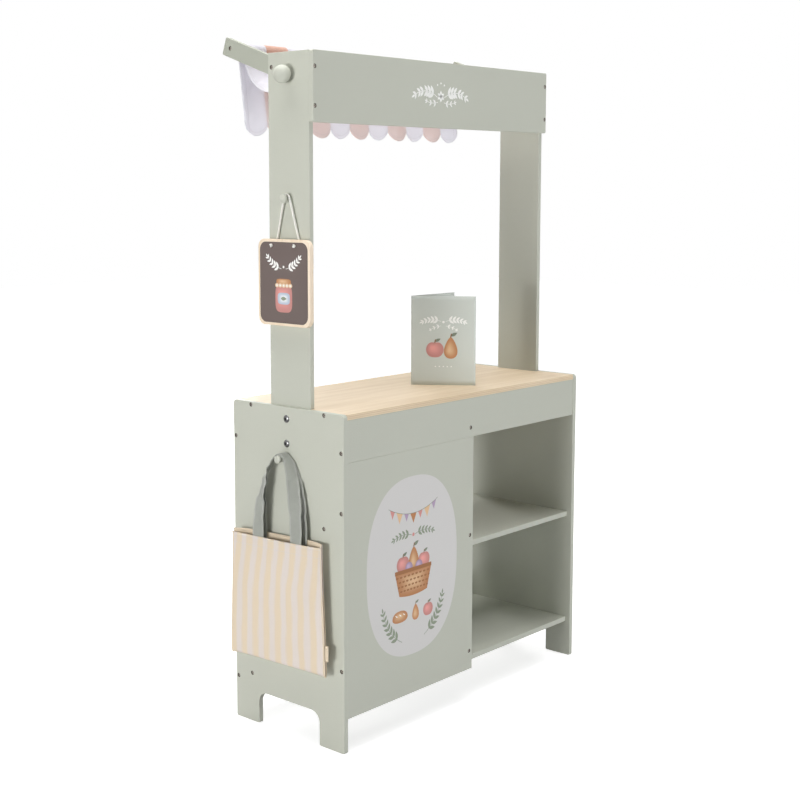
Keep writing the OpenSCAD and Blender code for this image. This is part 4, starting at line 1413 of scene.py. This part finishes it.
class STALL_OT_bag(bpy.types.Operator):
    """Build the tote bag, its handles and its tab"""
    bl_idname = "stall.bag"
    bl_label = "Bag"

    # Points across a face, a corner seam and a narrow side in the bag's plan
    face_points, seam_points, side_points = 61, 3, 7

    def execute(self, context):
        bag = context.scene.stall_bag
        low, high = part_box("bag_body")
        canvas = finish_of("striped_canvas", bag_cloth, bag.beige, bag.cream, bag.stripe)
        lining = finish_of("plain_canvas", plain_canvas, bag.beige)
        points, uvs = self.shell(low, high)
        mesh = thickened(grid_mesh("bag_shell", points, uvs), bag.canvas, [canvas, lining], -1.0)
        add_piece("bag_shell", mesh, "bag", [canvas, lining], ["bag_body"])
        hem_rows = (-2, -6)
        rows = [points[row, 1:self.face_points - 1] - mm(0.2, 0, 0) for row in hem_rows]
        seams(context.scene, "bag_seams", rows, "bag", FINE_THREAD)
        self.handles(context.scene, bag, low, high)
        side_middle = self.face_points + self.seam_points + self.side_points // 2
        self.tab(lining, points[8, side_middle])
        return {"FINISHED"}

    def shell(self, low, high):
        """Points of the bag's wall from its bottom seam up to its hem, all the way round."""
        wide, deep, tall = (high.y - low.y) / 2, (high.x - low.x) / 2, high.z - low.z
        lip = 1.4 * MM
        section = self.outline(wide, deep, lip)
        depth, across = section[:, 0][None, :], section[:, 1][None, :]
        rise = np.linspace(0, 1, 64)[:, None]
        # The bottom is pinched into a seam, and the bag narrows towards its hem
        bottom = 0.04
        pinch = np.clip(rise / bottom, 0, 1)
        flat = 0.1 + 0.9 * np.sqrt(pinch * (2 - pinch))
        y = across * (1.008 - 0.069 * rise + 0.004 * np.sin(TURN * rise))
        # Towards its sides the bag is thin and keeps near its outer face
        thin = 50 * MM
        near_side = np.clip((np.abs(across) - wide + thin) / thin, 0, 1) ** 2
        through = 2 * deep * (1 - near_side) + (5.5 - 2.5 * rise) * MM * near_side
        inward = np.where(across < 0, 2.0 + 2.5 * rise, 1.2) * MM * near_side
        x = through / 2 - deep + inward + flat * through * depth / (2 * deep)
        # A low belly, folds under the handles and slanting creases, all clear of the sides
        face = np.clip(-depth / (deep - 2 * lip), -1, 1)
        inner = np.clip((wide - np.abs(across)) / (30 * MM), 0, 1)
        belly = 0.4 * hump(rise, 0.3, 0.3) * (1 - (across / wide) ** 2)
        pull = 0.7 * np.sin(TURN * (y / 0.105 + 0.25 * rise + 0.1)) * hump(rise, 0.8, 0.35)
        crease = 0.7 * np.sin(TURN * (y * 0.9 + rise * tall) / 0.083 + 0.6) * hump(rise, 0.35, 0.3)
        x = x - face * (belly + (pull + crease) * inner * (1 - 0.6 * rise)) * MM * pinch
        x = np.clip(x, -deep - 0.5 * MM, deep)
        z = tall * rise + rise ** 4 * (2 + 3 * depth / deep) * MM
        # As it hangs, the bag is a little to the rear and tilted
        tilt = 0.027
        middle = middle_of(low, high)
        points = np.stack([
            middle[0] + x, middle[1] + y + (6 + 1.5 * rise) * MM,
            low.z + z - tilt * y - (0.7 + 1.05 * rise) * MM,
        ], axis=-1)
        uvs = np.stack(np.broadcast_arrays(wide - across, z), axis=-1)
        return points, uvs

    def outline(self, wide, deep, lip):
        """Plan of the bag, its faces standing out past its narrow sides, as (depth, width)."""
        front = [(-deep, v) for v in np.linspace(wide, -wide, self.face_points)]
        seam = [(lip * a - deep, lip * b - wide) for a, b in ((0.3, -0.4), (0.9, -0.4), (1.3, 0.9))]
        inset = deep - 2 * lip
        side = [(v, lip - wide) for v in np.linspace(-inset, inset, self.side_points)]
        half = front + seam + side + [(-a, b) for a, b in reversed(seam)]
        return np.array(half + [(-a, -b) for a, b in half] + half[:1])

    def strap_route(self, bag, x, span, lift, hem_z):
        """A handle's middle line over the peg, with its turn and its width at each point."""
        crown_z = middle_of(*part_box("bag_peg"))[2] + lift
        gather_x = -0.328
        sewn = 8
        t = np.linspace(0, 1, 60)
        ease = t * t * (3 - 2 * t)

        def both_legs(values):
            """Values from a sewn end up to the peg, where they start at 0, and down again."""
            leg = np.concatenate([np.zeros(sewn), values])
            return np.concatenate([leg, leg[-2::-1]])

        foot = np.stack([
            np.full(sewn, x), np.full(sewn, span),
            np.linspace(hem_z - 24 * MM, hem_z - 3 * MM, sewn),
        ], axis=1)
        leg = np.concatenate([foot, np.stack([
            x + (gather_x - x) * ease, span * np.cos(t * math.pi / 2),
            hem_z + (crown_z - hem_z) * np.sin(t * math.pi / 2),
        ], axis=1)])
        route = np.concatenate([leg, (leg * (1, -bag.lean_in, 1))[-2::-1]])
        run = lengths(route)
        rumple = 0.16 * np.sin(TURN * run / 0.043 + 0.4) + 0.08 * np.sin(TURN * run / 0.017)
        turn = both_legs(ease * math.pi / 2) + both_legs(np.sin(math.pi * t)) * rumple
        return route, turn, bag.strap + (bag.gather - bag.strap) * both_legs(ease)

    def handles(self, scene, bag, low, high):
        finish = finish_of("herringbone_webbing", webbing, bag.webbing)
        neck = 5.3 * MM
        wall = bag.canvas + 1.1 * MM + bag.strap_thick / 2
        section = self.section(13)
        rows = []
        lower = neck + bag.strap_thick / 2
        upper = neck + bag.strap_thick * 1.5 + 0.8 * MM
        for name, x, span, lift in (
            ("bag_front_handle", low.x + wall, bag.front_span, upper),
            ("bag_rear_handle", high.x - wall, bag.rear_span, lower),
        ):
            route, turn, width = self.strap_route(bag, x, span, lift, high.z)
            along = directions(route)
            flat = np.cross((1, 0, 0), along)
            flat = flat / np.linalg.norm(flat, axis=1, keepdims=True)
            wide = np.cos(turn)[:, None] * flat - np.sin(turn)[:, None] * np.cross(along, flat)
            thick = np.cross(along, wide) * bag.strap_thick / 2
            wide = wide * width[:, None] / 2
            points = (
                route[:, None, :]
                + wide[:, None, :] * section[None, :, :1] + thick[:, None, :] * section[None, :, 1:]
            )
            across = section[:, 0] * bag.strap / 2
            uvs = np.stack(np.broadcast_arrays(across[None, :], lengths(route)[:, None]), axis=-1)
            mesh = grid_mesh(name + "_strap", points, uvs, weld=True)
            add_piece(name + "_strap", mesh, "bag", [finish], [name])
            for edge in (-0.8, 0.8):
                for face in (-1, 1):
                    rows.append((route + wide * edge + thick * face)[6:-6])
        seams(scene, "handle_seams", rows, "bag", FINE_THREAD)

    def section(self, count):
        """Flat strap section with round edges, in half widths and half thicknesses."""
        upper = np.linspace(-0.95, 0.95, count)
        right = [(0.985, 0.72), (1.0, 0.0), (0.985, -0.72)]
        points = [(u, 1.0) for u in upper] + right
        points += [(-a, -b) for a, b in points]
        points.append(points[0])
        return np.array(points)

    def tab(self, finish, start):
        """A folded tape caught in the side seam, which starts at a point of the seam."""
        reach, tall = 7.5 * MM, 25 * MM
        rows = np.linspace(0, 1, 9)
        fold = np.linspace(0, math.pi, 9)
        out = np.concatenate([[-0.5], np.sin(fold) * 0.18 + 0.82, [-0.5]]) * reach
        across = np.concatenate([[-1], -np.cos(fold), [1]]) * 0.9 * MM
        x, y, z = start
        points = np.array([
            [(x + b, y - a, z + tall * r) for a, b in zip(out, across)] for r in rows
        ])
        run = lengths(np.column_stack([out, across]))
        uvs = np.stack(np.broadcast_arrays(run[None, :], rows[:, None] * tall), axis=-1)
        mesh = thickened(grid_mesh("bag_side_tab", points, uvs), 0.5 * MM, [finish])
        add_piece("bag_side_tab", mesh, "bag", [finish], ["bag_tab"])


class STALL_OT_plaque(bpy.types.Operator):
    """Build the plaque, its cord and its artwork"""
    bl_idname = "stall.plaque"
    bl_label = "Plaque"

    def execute(self, context):
        scene = context.scene
        tints = scene.stall_print
        low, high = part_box("plaque_board")
        gap, hole_z = 25.5 * MM, high.z - 10 * MM
        outward = np.array([-1.0, 0, 0])
        holes = [(np.array([low.x, s * gap, hole_z]), outward, high.x - low.x) for s in (-1, 1)]
        grain = (46, 46, 4)
        pale = finish_of("bare_pale_wood", wood, scene.stall_wood.pale, grain, 0)
        mesh = board_mesh("plaque_panel", "plaque_board", 1.2 * MM, holes)
        add_piece("plaque_panel", mesh, "plaque", [pale], ["plaque_board"])
        self.face(tints, low, high)
        self.cord(tints, low.x, gap, hole_z)
        return {"FINISHED"}

    def face(self, tints, low, high):
        """The dark printed face with its dark rim, two sprigs and a jar."""
        art = Print()
        slate, chalk = inks(tints, "slate", "chalk")
        border, corner = 5 * MM, 12.5 * MM
        wide = (high.y - low.y) / 2 - border
        tall = (high.z - low.z) / 2 - border
        outline = []
        for x, y, first in ((1, 1, 90), (1, -1, 0), (-1, -1, -90), (-1, 1, 180)):
            centre = (x * (wide - corner), y * (tall - corner))
            outline += arc(centre, corner, first, first - 90, 9).tolist()
        art.fill(outline, slate, 0, shade(slate, 1.06))
        art.line(outline + outline[:1], 0.9 * MM, shade(slate, 0.62), 1)
        sprig_pair(art, mm(5, 22), 0.2, 36 * MM, 5, chalk, 0.7)
        dot(art, mm(0, 25), 2 * MM, chalk)
        jar(art, mm(0, -25), 22 * MM, tints)
        _, y, z = middle_of(low, high)
        mesh = art.mesh("plaque_print", (low.x, y, z), (0, -1, 0), (0, 0, 1))
        add_piece("plaque_print", mesh, "plaque", [finish_of("printed_ink", ink)])

    def cord(self, tints, face_x, gap, hole_z):
        """The cord from knot to knot, through both holes, behind the board and over the peg."""
        radius = tints.cord_radius
        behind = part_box("plaque_cord")[1].x - radius
        over_x = -0.314
        peg_z = middle_of(*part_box("plaque_peg"))[2]
        neck, turn = 4.3 * MM, 2.5 * MM
        bend = [
            (behind - turn * (1 - math.sin(a)), gap, hole_z + turn * (1 - math.cos(a)))
            for a in np.linspace(0, math.pi / 2, 6)
        ]
        leg = [(face_x - 2 * MM, gap, hole_z), *bend, (behind, gap - 1 * MM, hole_z + 8 * MM)]
        over = [(over_x, y, z) for y, z in arc((0, peg_z), neck + radius, 15, 165, 21)]
        route = leg + over + [(x, -y, z) for x, y, z in reversed(leg)]
        route = smoothed(even_route(route, 0.8 * MM), 3)
        parts = [twisted_cord("strand", route, radius)]
        for side in (-1, 1):
            parts.append(self.knot((face_x - 2.1 * MM, side * gap, hole_z), 2.3 * MM, side))
        finish = finish_of("twisted_cotton", cotton, tints.cord)
        mesh = joined("plaque_hanger", parts)
        add_piece("plaque_hanger", mesh, "plaque", [finish], ["plaque_cord"])

    def knot(self, at, size, side):
        """A small overhand knot, drawn as a closed loop."""
        t = np.linspace(0, TURN, 60, endpoint=False)
        loop = np.stack([
            0.35 * np.cos(3 * t) * size, (np.sin(t) + 1.6 * np.sin(2 * t)) * size * 0.36,
            (np.cos(t) - 1.6 * np.cos(2 * t)) * size * 0.36 * side,
        ], axis=1) + at
        loop = np.concatenate([loop, loop[:1]])
        return twisted_cord("knot", loop, 1.2 * MM, pitch=6 * MM)


class STALL_OT_menu(bpy.types.Operator):
    """Build the folded menu card and its artwork"""
    bl_idname = "stall.menu"
    bl_label = "Menu card"

    def execute(self, context):
        tints = context.scene.stall_print
        hinge = next(joint for joint in frame["joints"] if joint["name"] == "menu_fold")
        fold = np.array(hinge["pos_m"][:2])
        low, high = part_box("menu_front_leaf")
        size, fold_reach = 114 * MM, 2.4 * MM
        half = tints.card_thick / 2
        lead, edge = {}, {}
        for key, degrees, side in (("front", -54, -1), ("rear", -3, 1)):
            angle = math.radians(degrees)
            lead[key] = np.array([math.cos(angle), math.sin(angle)])
            edge[key] = side * np.array([-math.sin(angle), math.cos(angle)])
        chord = lead["rear"] - lead["front"]
        chord = chord / np.linalg.norm(chord)
        reaches = np.linspace(size, fold_reach, 24)
        sides = {
            key: [fold + lead[key] * d + edge[key] * half for d in reaches] for key in lead
        }
        front_end, rear_end = sides["front"][-1], sides["rear"][-1]
        bend = bezier(
            front_end, front_end - lead["front"] * fold_reach,
            rear_end - lead["rear"] * fold_reach, rear_end, 13,
        )
        route = np.concatenate([sides["front"][:-1], bend, sides["rear"][::-1][1:]])
        rows = np.linspace(low.z, high.z, 21)
        points = np.array([[(x, y, z) for x, y in route] for z in rows])
        uvs = np.stack(np.broadcast_arrays(lengths(route)[None, :], rows[:, None]), axis=-1)
        finish = finish_of("coated_card", card_stock, tints.card)
        mesh = thickened(grid_mesh("menu_card", points, uvs), tints.card_thick, [finish])
        card = bpy.data.objects.new("menu_card", mesh)
        context.scene.collection.objects.link(card)
        middle = (low.z + high.z) / 2
        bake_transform(card)
        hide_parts("menu_front_leaf", "menu_rear_leaf")
        face = fold + lead["front"] * size / 2 + edge["front"] * tints.card_thick
        self.artwork(tints, (*face, middle), (*lead["front"], 0))
        return {"FINISHED"}

    def artwork(self, tints, origin, right):
        art = Print()
        chalk, caramel, tan, rose = inks(tints, "chalk", "caramel", "tan", "rose")
        stem, leaf = shade(caramel, 0.6), shade(tints.leaf, 0.72)
        sprig_pair(art, mm(4, 34), 0.35, 34 * MM, 5, chalk, -0.8)
        sprig_pair(art, mm(4, 26), -0.1, 20 * MM, 3, chalk, -0.5)
        dot(art, mm(0, 33), 2.2 * MM, chalk)
        apple(art, mm(-15, -16), 15 * MM, shade(rose, 0.86), shade(rose, 1.3), stem, leaf, 1)
        pear(art, mm(13, -13), 17 * MM, caramel, tan, stem, leaf, 3)
        for k in range(5):
            dot(art, mm((k - 2) * 7, -46), 1.2 * MM, chalk, 12)
        mesh = art.mesh("menu_print", origin, right, (0, 0, 1))
        add_piece("menu_print", mesh, "menu_front", [finish_of("printed_ink", ink)])


class STALL_OT_prints(bpy.types.Operator):
    """Build the artwork of the sign and the front panel"""
    bl_idname = "stall.prints"
    bl_label = "Prints"

    def execute(self, context):
        tints = context.scene.stall_print
        finish = finish_of("printed_ink", ink)
        sign_low, sign_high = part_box("sign_board")
        low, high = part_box("front_panel")
        raised = 11.5 * MM
        for name, art, place in (
            ("sign_print", self.sign(tints), (0, sign_low.y, (sign_low.z + sign_high.z) / 2)),
            ("front_print", self.front(tints), (
                (low.x + high.x) / 2, low.y, (low.z + high.z) / 2 + raised,
            )),
        ):
            mesh = art.mesh(name, place, (1, 0, 0), (0, 0, 1))
            add_piece(name, mesh, "stall", [finish])
        return {"FINISHED"}

    def sign(self, tints):
        """Two pairs of sprigs round a small flower, in chalk."""
        art = Print()
        chalk, = inks(tints, "chalk")
        sprig_pair(art, mm(9, -4), 0.55, 62 * MM, 6, chalk, -1.1, 0.26, 1.2 * MM)
        sprig_pair(art, mm(8, -12), -0.25, 30 * MM, 3, chalk, 0.6, 0.3, 1.1 * MM)
        petals = 6
        for k in range(petals):
            shape = leaf_shape(mm(0, -2), (k + 0.5) * TURN / petals, 10 * MM, 2.6 * MM)
            art.fill(shape, chalk, 1, rings=2)
        for k in (-1, 0, 1):
            dot(art, mm(k * 9, 20 - 3 * abs(k)), 1.7 * MM, chalk, 14)
        return art

    def front(self, tints):
        """A pale oval with bunting, sprigs, a basket of fruit and a row of food."""
        art = Print()
        paper, chalk, leaf, caramel, tan, rose, lilac = inks(
            tints, "paper", "chalk", "leaf", "caramel", "tan", "rose", "lilac"
        )
        stem, dark_leaf = shade(caramel, 0.6), shade(leaf, 0.8)
        art.fill(oval((0, 0), 114 * MM, 150 * MM, 96, 2.4), paper, 0, shade(paper, 1.01))
        pennants = (rose, tan, lilac, caramel)
        bunting(art, mm(-62, 104), mm(62, 104), 16 * MM, 7, pennants, dark_leaf, 1)
        sprig_pair(art, mm(4, 52), 0.3, 46 * MM, 5, leaf, -0.7, 0.26, 1.0 * MM)
        sprig_pair(art, mm(28, -124), 0.5, 78 * MM, 7, leaf, 0.85, 0.2, 1.0 * MM)
        dot(art, mm(0, 52), 3 * MM, rose, 18)
        for at, size, rim, core in (
            (mm(-26, 6), 15, 0.84, 1.25), (mm(27, 5), 14, 0.9, 1.3), (mm(38, -82), 12, 0.9, 1.3),
        ):
            apple(art, at, size * MM, shade(rose, rim), shade(rose, core), stem, dark_leaf, 1)
        pear(art, mm(1, 11), 18 * MM, caramel, tan, stem, dark_leaf, 3)
        for at in (mm(-11, -1), mm(14, -2)):
            plum = oval(at, 9 * MM, 9 * MM)
            art.fill(plum, shade(lilac, 0.8), 4, shade(lilac, 1.25), (-0.3, 0.3))
        wicker = shade(caramel, 0.92), tan, shade(caramel, 0.7)
        basket(art, mm(0, -46), 46 * MM, 40 * MM, *wicker, 5)
        loaf(art, mm(-33, -82), 19 * MM, caramel, tan, chalk, 1)
        pear(art, mm(6, -80), 12 * MM, shade(caramel, 1.1), tan, stem, dark_leaf, 1)
        return art


WHITE, COOL = (1.0, 1.0, 1.0), (0.957, 0.975, 1.0)
# Each lamp's place, aim, size and tint
LAMPS = {
    "key": ((-4.2, 0.1, 0.6), (-0.3, 0.0, 0.6), 1.6, WHITE),
    "fill": ((0.4, -3.2, 0.1), (0.0, 0.0, 0.8), 2.0, COOL),
    "side": ((-2.2, -1.9, 1.1), (0.0, 0.0, 0.6), 1.4, WHITE),
    "top": ((-0.4, 0.3, 3.0), (0.0, 0.0, 0.6), 2.0, WHITE),
    "over": ((0.2, -0.7, 2.9), (0.0, 0.0, 0.6), 2.0, WHITE),
    "back": ((1.3, 2.6, 1.0), (0.0, 0.0, 0.9), 1.0, WHITE),
}


class STALL_OT_stage(bpy.types.Operator):
    """Set the studio floor, the lights and the camera"""
    bl_idname = "stall.stage"
    bl_label = "Stage"

    def execute(self, context):
        scene = context.scene
        stage = scene.stall_stage
        mesh = bpy.data.meshes.new("studio_floor")
        reach = 9.0
        corners = [(x * reach, y * reach, 0) for x, y in ((-1, -1), (1, -1), (1, 1), (-1, 1))]
        mesh.from_pydata(corners, [], [(0, 1, 2, 3)])
        mesh.materials.append(finish_of("studio_floor", self.floor, stage.floor))
        floor = bpy.data.objects.new("studio_floor", mesh)
        scene.collection.objects.link(floor)
        for name, place in LAMPS.items():
            self.light(scene, name, getattr(stage, name), *place)
        self.world(scene, stage.ambient)
        self.camera(scene)
        scene.view_settings.view_transform = "Standard"
        return {"FINISHED"}

    def floor(self, net, rgb):
        """A matt floor that takes the shadow and glows white to the camera further away."""
        place = net.coords("Object")
        cloud = net.noise(place, 2, 2)
        seen = net.node("ShaderNodeLightPath", out="Is Camera Ray")
        away = net.node("ShaderNodeVectorMath", {"operation": "LENGTH"}, {0: place}, "Value")
        near, black, white = (0.72, 0.72, 0.72, 1), (0, 0, 0, 1), (1, 1, 1, 1)
        glow = net.mix(seen, black, net.mix(net.step(away, 0.5, 1.8), near, white))
        net.surface(
            net.tones(cloud, rgb, 0.985, 1.0), 0.9,
            Emission_Color=glow, Emission_Strength=1.0, Specular_IOR_Level=0.1,
        )

    def light(self, scene, name, watts, at, towards, size, tint):
        lamp = bpy.data.lights.new(name, "AREA")
        lamp.shape = "DISK"
        lamp.size = size
        lamp.energy = watts
        lamp.color = tint
        made = bpy.data.objects.new(name, lamp)
        scene.collection.objects.link(made)
        made.location = at
        made.rotation_euler = (Vector(towards) - Vector(at)).to_track_quat("-Z", "Y").to_euler()

    def world(self, scene, ambient):
        """White where it is seen or mirrored, and a faint even light elsewhere."""
        scene.world = bpy.data.worlds.new("studio")
        scene.world.use_nodes = True
        net = Net(scene.world.node_tree)
        net.tree.nodes.clear()
        rays = net.node("ShaderNodeLightPath", out="Is Camera Ray")
        glossy, passed = rays.also("Is Glossy Ray"), rays.also("Is Transmission Ray")
        seen = net.maths("MAXIMUM", rays, net.maths("MAXIMUM", glossy, passed))
        level = net.mix(seen, (ambient, ambient, ambient, 1), (1, 1, 1, 1))
        shader = net.node("ShaderNodeBackground", None, {"Color": level, "Strength": 1.0})
        net.node("ShaderNodeOutputWorld", None, {"Surface": shader})

    def camera(self, scene):
        lens = bpy.data.cameras.new("camera")
        lens.sensor_width = 36
        lens.lens = 62.02
        lens.shift_x = 0.03
        lens.shift_y = -0.07
        yaw, pitch = math.radians(48.014), math.radians(-6.518)
        made = bpy.data.objects.new("camera", lens)
        scene.collection.objects.link(made)
        made.location = (-1.8363, -1.5585, 0.8913)
        level = math.cos(pitch)
        ahead = Vector((math.sin(yaw) * level, math.cos(yaw) * level, math.sin(pitch)))
        made.rotation_euler = ahead.to_track_quat("-Z", "Y").to_euler()
        scene.camera = made


OPERATORS = (
    STALL_OT_boards, STALL_OT_fasteners, STALL_OT_awning, STALL_OT_bag, STALL_OT_plaque,
    STALL_OT_menu, STALL_OT_prints, STALL_OT_stage,
)


class STALL_PT_panel(bpy.types.Panel):
    """Settings and build steps of the stall"""
    bl_idname = "STALL_PT_panel"
    bl_label = "Toy Market Stall"
    bl_space_type = "VIEW_3D"
    bl_region_type = "UI"
    bl_category = "Stall"

    def draw(self, context):
        for key, group in GROUPS.items():
            box = self.layout.box()
            box.label(text=group.__doc__)
            for name in group.__annotations__:
                box.prop(getattr(context.scene, key), name)
        for operator in OPERATORS:
            self.layout.operator(operator.bl_idname)


def register():
    for cls in (*GROUPS.values(), *OPERATORS, STALL_PT_panel):
        bpy.utils.register_class(cls)
    for key, group in GROUPS.items():
        setattr(bpy.types.Scene, key, PointerProperty(type=group))


def unregister():
    for key in GROUPS:
        delattr(bpy.types.Scene, key)
    for cls in reversed((*GROUPS.values(), *OPERATORS, STALL_PT_panel)):
        bpy.utils.unregister_class(cls)


def main():
    register()
    for operator in OPERATORS:
        group, name = operator.bl_idname.split(".")
        getattr(getattr(bpy.ops, group), name)()


if __name__ == "__main__":
    main()
